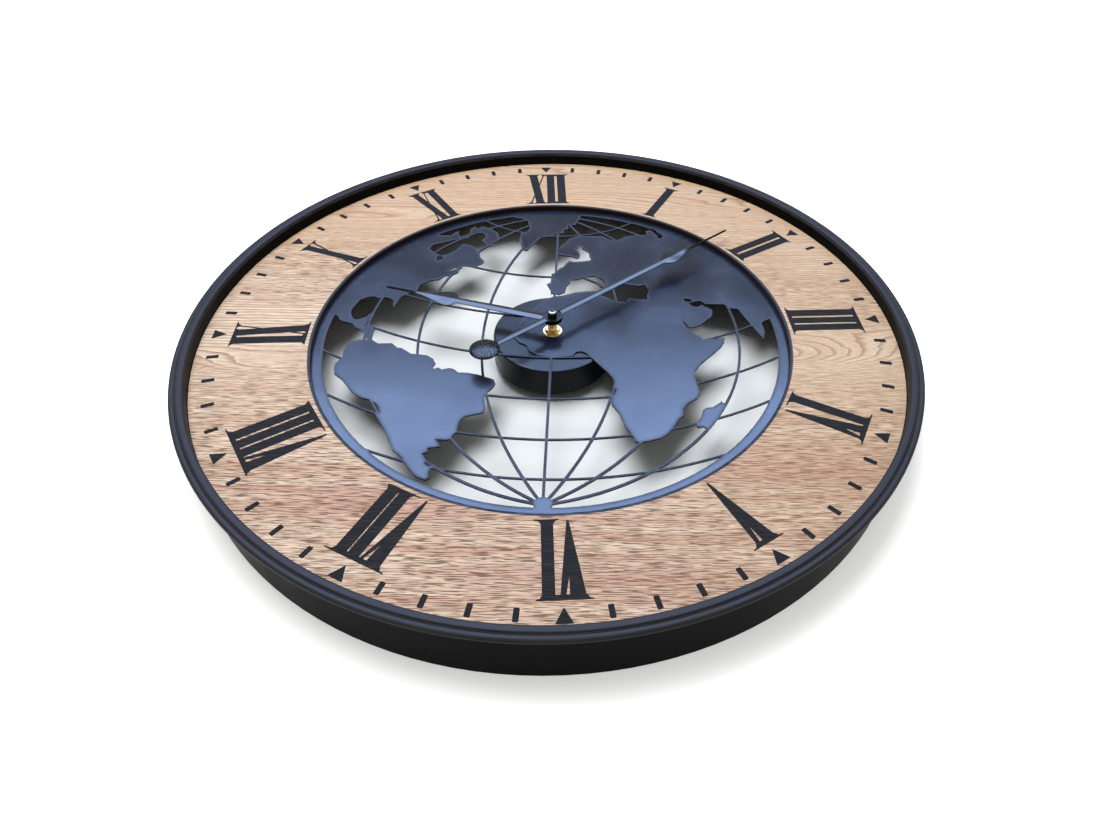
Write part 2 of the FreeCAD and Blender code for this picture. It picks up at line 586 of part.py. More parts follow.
AMERICA_SHARES = [
    (-1.04, 0.13), (-1.0, 0.097), (-0.98, 0.09), (-0.965, 0.06), (-0.945, 0.048), (-0.9, 0.035),
    (-0.885, 0.008), (-0.855, -0.01), (-0.835, -0.035), (-0.81, -0.077), (-0.845, -0.08),
    (-0.875, -0.09), (-0.893, -0.115), (-0.9, -0.15), (-0.895, -0.2), (-0.915, -0.24),
    (-0.912, -0.275), (-0.903, -0.305), (-0.865, -0.338), (-0.81, -0.41), (-0.765, -0.445),
    (-0.715, -0.46), (-0.685, -0.49), (-0.665, -0.54), (-0.69, -0.533), (-0.64, -0.615),
    (-0.605, -0.68), (-0.585, -0.73), (-0.545, -0.765), (-0.505, -0.825), (-0.475, -0.86),
    (-0.435, -0.878), (-0.423, -0.87), (-0.43, -0.85), (-0.425, -0.82), (-0.45, -0.8),
    (-0.455, -0.765), (-0.47, -0.745), (-0.445, -0.742), (-0.452, -0.718), (-0.4, -0.71),
    (-0.43, -0.672), (-0.38, -0.675), (-0.352, -0.63), (-0.348, -0.57), (-0.33, -0.545),
    (-0.258, -0.523), (-0.253, -0.49), (-0.265, -0.42), (-0.232, -0.375), (-0.225, -0.35),
    (-0.235, -0.325), (-0.3, -0.298), (-0.345, -0.287), (-0.387, -0.285), (-0.41, -0.263),
    (-0.43, -0.258), (-0.458, -0.268), (-0.475, -0.256), (-0.492, -0.265), (-0.5, -0.252),
    (-0.49, -0.23), (-0.505, -0.2), (-0.535, -0.177), (-0.605, -0.168), (-0.65, -0.133),
    (-0.672, -0.128), (-0.7, -0.1), (-0.76, -0.103), (-0.795, -0.075), (-0.795, -0.005),
    (-0.81, 0.016), (-0.84, 0.02), (-0.837, 0.055), (-0.818, 0.085), (-0.82, 0.102),
    (-0.838, 0.105), (-0.85, 0.083), (-0.885, 0.063), (-0.905, 0.068), (-0.925, 0.11),
    (-0.927, 0.145), (-0.905, 0.21), (-0.87, 0.237), (-0.84, 0.24), (-0.82, 0.225),
    (-0.8, 0.237), (-0.77, 0.23), (-0.748, 0.212), (-0.745, 0.17), (-0.738, 0.158),
    (-0.73, 0.19), (-0.722, 0.235), (-0.69, 0.268), (-0.652, 0.285), (-0.648, 0.335),
    (-0.635, 0.348), (-0.6, 0.375), (-0.56, 0.385), (-0.54, 0.413), (-0.49, 0.432),
    (-0.477, 0.445), (-0.475, 0.475), (-0.463, 0.49), (-0.515, 0.458), (-0.53, 0.462),
    (-0.5, 0.49), (-0.465, 0.505), (-0.4, 0.5), (-0.365, 0.527), (-0.36, 0.548),
    (-0.383, 0.58), (-0.388, 0.615), (-0.425, 0.68), (-0.47, 0.697), (-0.49, 0.69),
    (-0.51, 0.64), (-0.55, 0.6), (-0.575, 0.595), (-0.565, 0.563), (-0.585, 0.545),
    (-0.6, 0.553), (-0.595, 0.59), (-0.645, 0.65), (-0.635, 0.685), (-0.58, 0.712),
    (-0.53, 0.735), (-0.5, 0.748), (-0.465, 0.75), (-0.445, 0.795), (-0.4, 0.807),
    (-0.378, 0.79), (-0.372, 0.765), (-0.39, 0.735), (-0.355, 0.675), (-0.338, 0.685),
    (-0.335, 0.715), (-0.3, 0.755), (-0.315, 0.81), (-0.345, 0.84), (-0.395, 0.868),
    (-0.425, 0.845), (-0.44, 0.868), (-0.46, 0.835), (-0.457, 0.8), (-0.5, 0.765),
    (-0.515, 0.785), (-0.52, 0.82), (-0.54, 0.8), (-0.55, 0.775), (-0.6, 0.775),
    (-0.645, 0.79), (-0.66, 0.83), (-0.9, 0.54), (-1.04, 0.3),
]
GREENLAND_SHARES = [
    (-0.25, 1.03), (-0.243, 0.965), (-0.2, 0.955), (-0.165, 0.935), (-0.15, 0.87),
    (-0.155, 0.835), (-0.175, 0.815), (-0.192, 0.81), (-0.197, 0.76), (-0.183, 0.68),
    (-0.165, 0.65), (-0.15, 0.652), (-0.105, 0.74), (-0.085, 0.77), (-0.03, 0.785),
    (-0.015, 0.808), (0.03, 0.815), (0.03, 0.845), (0.055, 0.86), (0.05, 0.89),
    (0.09, 0.9), (0.105, 0.95), (0.115, 0.97), (0.12, 1.03),
]
OLD_WORLD_SHARES = [
    (0.52, 0.89), (0.515, 0.845), (0.545, 0.81), (0.54, 0.78), (0.515, 0.78), (0.52, 0.8),
    (0.49, 0.85), (0.475, 0.855), (0.46, 0.845), (0.462, 0.81), (0.41, 0.808), (0.35, 0.79),
    (0.31, 0.758), (0.285, 0.75), (0.255, 0.77), (0.235, 0.79), (0.16, 0.79), (0.1, 0.785),
    (0.06, 0.765), (0.045, 0.73), (-0.005, 0.655), (-0.005, 0.638), (0.01, 0.615),
    (0.05, 0.605), (0.075, 0.6), (0.1, 0.583), (0.113, 0.59), (0.118, 0.625), (0.095, 0.665),
    (0.115, 0.71), (0.13, 0.67), (0.16, 0.64), (0.165, 0.6), (0.175, 0.58), (0.165, 0.565),
    (0.12, 0.555), (0.085, 0.55), (0.065, 0.56), (0.05, 0.54), (0.035, 0.505), (0.015, 0.49),
    (-0.005, 0.45), (-0.02, 0.448), (-0.022, 0.37), (-0.04, 0.36), (-0.02, 0.31),
    (-0.018, 0.282), (0.0, 0.287), (0.02, 0.278), (0.048, 0.297), (0.055, 0.345),
    (0.07, 0.375), (0.072, 0.397), (0.105, 0.402), (0.13, 0.417), (0.2, 0.37), (0.215, 0.345),
    (0.228, 0.345), (0.215, 0.375), (0.15, 0.41), (0.15, 0.43), (0.17, 0.438), (0.19, 0.435),
    (0.235, 0.4), (0.245, 0.37), (0.24, 0.345), (0.26, 0.34), (0.28, 0.37), (0.34, 0.37),
    (0.4, 0.355), (0.43, 0.365), (0.45, 0.32), (0.436, 0.275), (0.44, 0.25), (0.4, 0.247),
    (0.35, 0.257), (0.335, 0.223), (0.28, 0.235), (0.23, 0.27), (0.2, 0.308), (0.16, 0.305),
    (0.1, 0.295), (0.04, 0.268), (0.0, 0.262), (-0.03, 0.245), (-0.1, 0.15), (-0.155, 0.05),
    (-0.17, 0.0), (-0.165, -0.05), (-0.145, -0.08), (-0.11, -0.1), (-0.1, -0.135),
    (-0.06, -0.165), (0.0, -0.178), (0.095, -0.168), (0.105, -0.142), (0.13, -0.135),
    (0.155, -0.15), (0.19, -0.2), (0.25, -0.28), (0.265, -0.31), (0.277, -0.38),
    (0.255, -0.445), (0.258, -0.47), (0.285, -0.515), (0.305, -0.585), (0.34, -0.648),
    (0.345, -0.672), (0.38, -0.67), (0.44, -0.652), (0.475, -0.625), (0.515, -0.56),
    (0.52, -0.545), (0.543, -0.525), (0.545, -0.485), (0.565, -0.453), (0.605, -0.425),
    (0.623, -0.395), (0.622, -0.36), (0.613, -0.32), (0.612, -0.26), (0.64, -0.212),
    (0.7, -0.145), (0.745, -0.092), (0.762, -0.06), (0.77, -0.028), (0.75, -0.03),
    (0.672, -0.045), (0.665, -0.033), (0.63, 0.003), (0.603, 0.045), (0.593, 0.08),
    (0.595, 0.093), (0.605, 0.065), (0.62, 0.04), (0.665, 0.057), (0.705, 0.103),
    (0.725, 0.12), (0.735, 0.16), (0.732, 0.18), (0.7, 0.2), (0.69, 0.215), (0.675, 0.198),
    (0.65, 0.197), (0.607, 0.25), (0.612, 0.26), (0.637, 0.26), (0.65, 0.244), (0.69, 0.242),
    (0.71, 0.22), (0.795, 0.22), (0.82, 0.188), (0.855, 0.187), (0.89, 0.095),
    (0.942, -0.033), (0.95, 0.0), (0.955, 0.03), (0.95, 0.08), (0.97, 0.11), (1.03, 0.14),
    (1.04, 0.3), (0.9, 0.54), (0.7, 0.78),
]
MADAGASCAR_SHARES = [
    (0.705, -0.433), (0.708, -0.446), (0.722, -0.448), (0.7, -0.49), (0.655, -0.565),
    (0.627, -0.597), (0.618, -0.583), (0.592, -0.59), (0.59, -0.57), (0.615, -0.525),
    (0.625, -0.49), (0.64, -0.477), (0.665, -0.473), (0.7, -0.445),
]
# Each meridian is an arc between the poles that stands this far from the middle at its widest
POLE_SHARE = 0.985
MERIDIAN_REACH_SHARES = (0.308, 0.59, 0.83)
# Each parallel is an arc: where it crosses the middle, and its radius
PARALLEL_SHARES = (
    (-0.866, 1.8), (-0.665, 1.85), (-0.437, 1.85), (-0.178, 1.8), (0.108, 1.7), (0.42, 1.1),
    (0.785, 0.6),
)


def strip_face(radius, middle, start, end, width):
    """Flat strip along an arc about middle, from one polar angle to another."""
    def at(distance, angle):
        return middle + FreeCAD.Vector(distance * math.cos(angle), distance * math.sin(angle), 0)

    half = (start + end) / 2
    far = radius + width / 2
    close = radius - width / 2
    outer = Part.Arc(at(far, start), at(far, half), at(far, end))
    inner = Part.Arc(at(close, end), at(close, half), at(close, start))
    first = Part.LineSegment(outer.EndPoint, inner.StartPoint)
    last = Part.LineSegment(inner.EndPoint, outer.StartPoint)
    return Part.Face(Part.Wire([curve.toShape() for curve in (outer, first, inner, last)]))


def meridian_faces(globe, width):
    """The middle meridian and the curved ones on both sides of it."""
    pole = globe * POLE_SHARE
    corners = [(-width / 2, -pole), (width / 2, -pole), (width / 2, pole), (-width / 2, pole)]
    points = [FreeCAD.Vector(across, up, 0) for across, up in corners]
    faces = [Part.Face(Part.makePolygon(points + points[:1]))]
    for share in MERIDIAN_REACH_SHARES:
        reach = globe * share
        radius = (pole * pole + reach * reach) / (2 * reach)
        sweep = math.asin(pole / radius)
        for side in (1, -1):
            middle = FreeCAD.Vector(side * (reach - radius), 0, 0)
            facing = 0 if side > 0 else math.pi
            faces.append(strip_face(radius, middle, facing - sweep, facing + sweep, width))
    return faces


def parallel_faces(globe, rim, width):
    """The arcs of latitude, each ending under the rim."""
    faces = []
    for crossing_share, radius_share in PARALLEL_SHARES:
        radius = globe * radius_share
        height = globe * crossing_share + radius
        # the arc meets the rim where both circles have the same height
        meeting = (rim * rim + height * height - radius * radius) / (2 * height)
        across = math.sqrt(rim * rim - meeting * meeting)
        sweep = math.atan2(across, height - meeting)
        down = -math.pi / 2
        faces.append(strip_face(radius, FreeCAD.Vector(0, height, 0), down - sweep, down + sweep, width))
    return faces


def land_faces(globe):
    faces = []
    for shares in (AMERICA_SHARES, GREENLAND_SHARES, OLD_WORLD_SHARES, MADAGASCAR_SHARES):
        points = [FreeCAD.Vector(across * globe, up * globe, 0) for across, up in shares]
        faces.append(Part.Face(Part.makePolygon(points + points[:1])))
    return faces


def make_map_plate():
    """One sheet: rim, lands, meridians and parallels, cut out together."""
    globe = size(MAP_RADIUS)
    outer = size(PLATE_RADIUS)
    thick = size("sizes.plate_thickness")
    middle_of_rim = (globe + outer) / 2
    through = FreeCAD.Vector(0, 0, thick)
    inside = ring_shape(middle_of_rim, 0, 0, thick)
    pieces = [face.extrude(through).common(inside) for face in land_faces(globe)]
    bars = meridian_faces(globe, size("sizes.meridian_width"))
    bars += parallel_faces(globe, middle_of_rim, size("sizes.parallel_width"))
    pieces += [face.extrude(through) for face in bars]
    pole = FreeCAD.Vector(0, -globe * POLE_SHARE, 0)
    pieces.append(Part.makeCylinder(size("sizes.pole_radius"), thick, pole).common(inside))
    blank = ring_shape(outer, globe, 0, thick).multiFuse(pieces).removeSplitter()
    holes = [ring_shape(size(PLATE_BORE), 0, 0, thick)]
    hole_radius = size("sizes.screw_radius + sizes.screw_hole_gap")
    circle = size(PLATE_SCREW_CIRCLE)
    turn = math.radians(size("sizes.map_turn"))
    for index in range(PLATE_SCREWS):
        angle = 2 * math.pi * (index + 0.5) / PLATE_SCREWS - turn
        place = FreeCAD.Vector(circle * math.cos(angle), circle * math.sin(angle), 0)
        holes.append(Part.makeCylinder(hole_radius, thick, place))
    plate = shaped("map_plate", largest_solid(blank.cut(holes)))
    plate.Placement = turned_by(size("sizes.map_turn"), FreeCAD.Vector(0, 0, size(PLATE_BACK)))


def largest_solid(shape):
    return max(shape.Solids, key=lambda solid: solid.Volume)


# Cup and what holds the movement

def make_movement_cup():
    body = new_body("movement_cup")
    inside = f"{CUP_RADIUS} - sizes.cup_wall"
    outer_corner = eased(CUP_RADIUS, PLATE_BACK, "sizes.cup_ease", inward=False)
    inner_corner = eased(inside, CUP_SEAT, "(sizes.cup_ease - sizes.cup_wall / 2)", inward=False)
    turned(body, "cup_section", [
        (CUP_BORE, CUP_SEAT),
        *reversed(inner_corner),
        (inside, CUP_BACK),
        (CUP_RADIUS, CUP_BACK),
        *outer_corner,
        (CUP_BORE, PLATE_BACK),
    ])


def make_gasket():
    turned(new_body("rubber_washer"), "gasket_section", [
        (CUP_BORE, CASE_FRONT),
        ("sizes.gasket_radius", CASE_FRONT),
        ("sizes.gasket_radius", CUP_SEAT),
        (CUP_BORE, CUP_SEAT),
    ])


def make_brass_washer():
    body = new_body("brass_washer")
    bore = "sizes.bush_radius + sizes.slip_gap"
    top = f"{PLATE_TOP} + sizes.washer_thickness"
    ring = turned(body, "washer_section", [
        (bore, PLATE_TOP),
        ("sizes.washer_radius", PLATE_TOP),
        ("sizes.washer_radius", top),
        (bore, top),
    ])
    rounded(body, ring, "sizes.washer_thickness / 3",
            lambda edge: is_circle_at(edge, "sizes.washer_radius", top), "Chamfer")


def make_bush_nut():
    """Hexagon nut with its corners turned off."""
    body = new_body("bush_nut")
    low = f"{PLATE_TOP} + sizes.washer_thickness"
    sketch = sketch_on(body, "nut_hexagon", height=low)
    corner = f"{NUT_REACH} / cos(30)"
    draw_outline(sketch, [(f"{corner} * cos({turn})", f"{corner} * sin({turn})" if turn % 180 else "0")
                          for turn in range(0, 360, 60)])
    pad(body, sketch, "sizes.nut_height")
    bore_sketch = sketch_on(body, "nut_bore", height=f"{low} - sizes.overrun")
    draw_circle(bore_sketch, "sizes.bush_radius + sizes.slip_gap")
    pocket(body, bore_sketch, "sizes.nut_height + 2 * sizes.overrun", upward=True)
    top = f"{low} + sizes.nut_height"
    sketch = sketch_on(body, "nut_corners", "XZ_Plane")
    draw_outline(sketch, [
        (NUT_REACH, top),
        (corner, top),
        (corner, f"{top} - sizes.nut_height / 3"),
    ])
    groove = body.newObject("PartDesign::Groove", "nut_corner_turn")
    groove.Profile = sketch
    groove.ReferenceAxis = (sketch, ["V_Axis"])
    groove.Angle = 360
    document.recompute()


def make_threaded_bush():
    body = new_body("threaded_bush")
    flange_top = f"{CASE_FRONT} - sizes.case_wall"
    flange_low = f"{flange_top} - sizes.bush_flange_thickness"
    bush = turned(body, "bush_section", [
        (BUSH_BORE, flange_low),
        ("sizes.bush_flange_radius", flange_low),
        ("sizes.bush_flange_radius", flange_top),
        ("sizes.bush_radius", flange_top),
        ("sizes.bush_radius", BUSH_TOP),
        (BUSH_BORE, BUSH_TOP),
    ])
    rounded(body, bush, f"(sizes.bush_radius - {BUSH_BORE}) / 3",
            lambda edge: is_circle_at(edge, "sizes.bush_radius", BUSH_TOP), "Chamfer")


# Movement

def case_shell(body, low, depth, open_upward):
    """Half of the movement case: a rounded box, open at the parting line."""
    outer = sketch_on(body, body.Name + "_outline", height=low)
    draw_rectangle(outer, f"-{HALF_CASE}", HALF_CASE, CASE_LOW, CASE_HIGH)
    block = pad(body, outer, depth)
    soft = rounded(body, block, "sizes.case_corner", is_upright)
    floor = f"{low} + sizes.case_wall" if open_upward else f"{low}"
    hollow = sketch_on(body, body.Name + "_hollow", height=floor)
    left = f"-{HALF_CASE} + sizes.case_wall"
    right = f"{HALF_CASE} - sizes.case_wall"
    draw_rectangle(hollow, left, right, f"{BAY_TOP} + sizes.bay_wall", f"{CASE_HIGH} - sizes.case_wall")
    draw_rectangle(hollow, left, right, f"{CASE_LOW} + sizes.case_wall", BAY_TOP)
    pocket(body, hollow, f"{depth} - sizes.case_wall", upward=True)
    return soft


def bored(body, name, radius, low, length, across="0", up="0"):
    sketch = sketch_on(body, name, height=low)
    draw_circle(sketch, radius, across, up)
    return pocket(body, sketch, length, upward=True)


def add_posts(body, name, radius, low, length, places):
    sketch = sketch_on(body, name, height=low)
    for across, up in places:
        draw_circle(sketch, radius, across, up)
    return pad(body, sketch, length)


def make_case_front():
    """Front half of the movement case, with the hole for the bush."""
    body = new_body("movement_front_cover")
    case_shell(body, CASE_PART, f"{CASE_FRONT} - ({CASE_PART})", open_upward=False)
    bored(body, "bush_hole", "sizes.bush_radius + sizes.slip_gap", f"{CASE_FRONT} - 2 * sizes.case_wall",
          "2 * sizes.case_wall + sizes.overrun")
    floor = f"{CASE_FRONT} - sizes.case_wall"
    plate_top = f"{CASE_BACK} + {LEVELS['plate']} + sizes.train_plate_thickness"
    add_posts(body, "plate_posts", "sizes.post_radius", plate_top, f"{floor} - ({plate_top})", POST_PLACES)
    setting = AXES["setting"]
    boss = "sizes.pivot_radius + sizes.pivot_gap + sizes.boss_wall"
    boss_low = f"{wheel_top('hour')} + sizes.pinion_overlap + sizes.end_play"
    add_posts(body, "setting_boss", boss, boss_low, f"{floor} - ({boss_low})", [setting])
    bored(body, "setting_pivot_hole", "sizes.pivot_radius + sizes.pivot_gap", boss_low,
          "sizes.pivot_length + sizes.end_play / 2", *setting)


def make_case_back():
    """Back half of the movement case, with the battery bay open to the rear."""
    body = new_body("movement_back_cover")
    case_shell(body, CASE_BACK, f"{CASE_PART} - ({CASE_BACK})", open_upward=True)
    bay = sketch_on(body, "bay_opening", height=f"{CASE_BACK} - sizes.overrun")
    draw_rectangle(bay, f"-{HALF_CASE} + sizes.case_wall", f"{HALF_CASE} - sizes.case_wall",
                   f"{CASE_LOW} + sizes.case_wall", BAY_TOP)
    pocket(body, bay, "sizes.case_wall + 2 * sizes.overrun", upward=True)
    floor = f"{CASE_BACK} + sizes.case_wall"
    hole = "sizes.pivot_radius + sizes.pivot_gap"
    boss = f"{hole} + sizes.boss_wall"
    # one bearing boss under each arbor of the train, up to the arbor's shoulder
    for name in ("centre", "third", "second", "transfer", "rotor"):
        shoulder = SHOULDERS[name]
        add_posts(body, f"{name}_boss", boss, floor, f"{shoulder} - ({floor}) - sizes.end_play", [AXES[name]])
        bored(body, f"{name}_pivot_hole", hole, f"{shoulder} - sizes.end_play - sizes.pivot_length",
              "sizes.pivot_length + sizes.overrun", *AXES[name])
    bored(body, "knob_hole", "sizes.knob_stem_radius + sizes.pivot_gap", f"{CASE_BACK} - sizes.overrun",
          "sizes.case_wall + 2 * sizes.overrun", *AXES["setting"])
    plate_low = f"{CASE_BACK} + {LEVELS['plate']}"
    board_low = f"{CASE_BACK} + sizes.board_level"
    for name, top, places in (("plate_posts_below", plate_low, POST_PLACES),
                              ("stator_posts", STATOR_LOW, STATOR_POST_PLACES),
                              ("board_posts", board_low, BOARD_POST_PLACES)):
        add_posts(body, name, "sizes.post_radius", floor, f"{top} - ({floor})", places)


def place_from(start, distance, angle):
    """Expression pair at a distance and direction from another pair."""
    across, up = start
    return (f"({across} + {distance} * cos({angle}))", f"({up} + {distance} * sin({angle}))")


# Directions of the train's axes, in degrees from three o'clock
SETTING_DIRECTION = 20
THIRD_DIRECTION = 180
SECOND_DIRECTION = 110
TRANSFER_DIRECTION = 62
ROTOR_DIRECTION = 8
CENTRE = ("0", "0")
AXES = {"centre": CENTRE}
AXES["setting"] = place_from(CENTRE, "sizes.motion_distance", SETTING_DIRECTION)
AXES["third"] = place_from(CENTRE, "sizes.third_distance", THIRD_DIRECTION)
AXES["second"] = place_from(AXES["third"], "sizes.second_distance", SECOND_DIRECTION)
AXES["transfer"] = place_from(AXES["second"], "sizes.transfer_distance", TRANSFER_DIRECTION)
AXES["rotor"] = place_from(AXES["transfer"], "sizes.rotor_distance", ROTOR_DIRECTION)

CASE_INSIDE_LEFT = f"(-{HALF_CASE} + sizes.case_wall + sizes.post_radius)"
CASE_INSIDE_TOP = f"({CASE_HIGH} - sizes.case_wall - sizes.post_radius)"
CASE_INSIDE_BOTTOM = f"({BAY_TOP} + sizes.bay_wall + sizes.post_radius)"
PLATE_RIGHT = f"(sizes.motion_distance + 3 * sizes.post_radius)"
POST_PLACES = [(CASE_INSIDE_LEFT, CASE_INSIDE_TOP), (CASE_INSIDE_LEFT, CASE_INSIDE_BOTTOM),
               (PLATE_RIGHT, CASE_INSIDE_BOTTOM)]


def wheel_top(wheel):
    """Height of a wheel's top over the back rim."""
    return f"{CASE_BACK} + {LEVELS[wheel]} + sizes.wheel_thickness"


def wheel_low(wheel):
    return f"{CASE_BACK} + {LEVELS[wheel]}"


SHOULDERS = {
    "centre": f"{wheel_low('centre')} - 2 * sizes.wheel_thickness",
    "third": f"{wheel_low('third')} - 2 * sizes.wheel_thickness",
    "second": f"{wheel_low('second')} - sizes.wheel_thickness / 2",
    "transfer": f"{wheel_low('second')} - sizes.pinion_overlap - sizes.end_play",
    "rotor": f"{wheel_low('second')} - sizes.wheel_thickness",
}


STATOR_LOW = f"{SHOULDERS['rotor']} + (sizes.magnet_length - sizes.stator_thickness) / 2"
ARM_OFFSET = "(sizes.coil_length / 2 + sizes.bobbin_flange + sizes.stator_arm_width / 2)"
STATOR_POST_PLACES = [(f"sizes.coil_offset - {ARM_OFFSET}", "sizes.coil_distance"),
                      (f"sizes.coil_offset + {ARM_OFFSET}", "sizes.coil_distance")]
BOARD_RIGHT = f"({HALF_CASE} - 2 * sizes.case_wall)"
BOARD_POST_ACROSS = f"({BOARD_RIGHT} - sizes.post_radius)"
BOARD_POST_PLACES = [
    (BOARD_POST_ACROSS, f"({CASE_INSIDE_BOTTOM} + sizes.post_radius)"),
    (BOARD_POST_ACROSS, f"({CASE_INSIDE_BOTTOM} + sizes.board_length - sizes.post_radius)"),
]


# Gears: the teeth have straight flanks; half widths are shares of half the tooth pitch
ADDENDUM_SHARE = 0.8
DEDENDUM_SHARE = 1.2
TIP_SHARE = 0.22
WHEEL_ROOT_SHARE = 0.58
PINION_ROOT_SHARE = 0.5


def gear_shape(teeth, module, root_share, low, high, bore=0.0):
    """Straight-flanked clock wheel or pinion whose first tooth points along +X."""
    radii_and_shares = [
        (module * (teeth / 2 - DEDENDUM_SHARE), -root_share),
        (module * (teeth / 2 + ADDENDUM_SHARE), -TIP_SHARE),
        (module * (teeth / 2 + ADDENDUM_SHARE), TIP_SHARE),
        (module * (teeth / 2 - DEDENDUM_SHARE), root_share),
    ]
    half_pitch = math.pi / teeth
    points = []
    for tooth in range(teeth):
        for radius, share in radii_and_shares:
            angle = (2 * tooth + share) * half_pitch
            points.append(FreeCAD.Vector(radius * math.cos(angle), radius * math.sin(angle), low))
    face = Part.Face(Part.makePolygon(points + points[:1]))
    if bore > 0:
        face = face.cut(Part.Face(Part.Wire(Part.makeCircle(bore, FreeCAD.Vector(0, 0, low)))))
    return largest_solid(face.extrude(FreeCAD.Vector(0, 0, high - low)))


def place_on_axis(feature, name, turn=0.0):
    across, up = (size(part) for part in AXES[name])
    feature.Placement = turned_by(math.degrees(turn), FreeCAD.Vector(across, up, 0))


# Tooth counts: minute to hour is 12 to 1, second to minute 60 to 1, rotor to second 30 to 1
CANNON_TEETH = 12
MINUTE_WHEEL_TEETH = 36
MINUTE_PINION_TEETH = 10
HOUR_WHEEL_TEETH = 40
CENTRE_WHEEL_TEETH = 64
THIRD_PINION_TEETH = 8
THIRD_WHEEL_TEETH = 60
SECOND_PINION_TEETH = 8
SECOND_WHEEL_TEETH = 60
TRANSFER_PINION_TEETH = 12
TRANSFER_WHEEL_TEETH = 48
ROTOR_PINION_TEETH = 8


def module_of(distance, teeth, other_teeth):
    return 2 * size(f"sizes.{distance}") / (teeth + other_teeth)


def mesh_turn(teeth, direction, mate_teeth, mate_turn):
    """Turn of a gear so that it meets its mate, which lies in a direction from it, in mesh."""
    toward = math.radians(direction)
    # phase of the mate's tooth that points back at this gear, as a share of its pitch
    back = toward + math.pi - mate_turn
    share = (back * mate_teeth / (2 * math.pi)) % 1
    # a gap of this gear faces the mate's tooth
    return toward - 2 * math.pi / teeth * (0.5 - share)


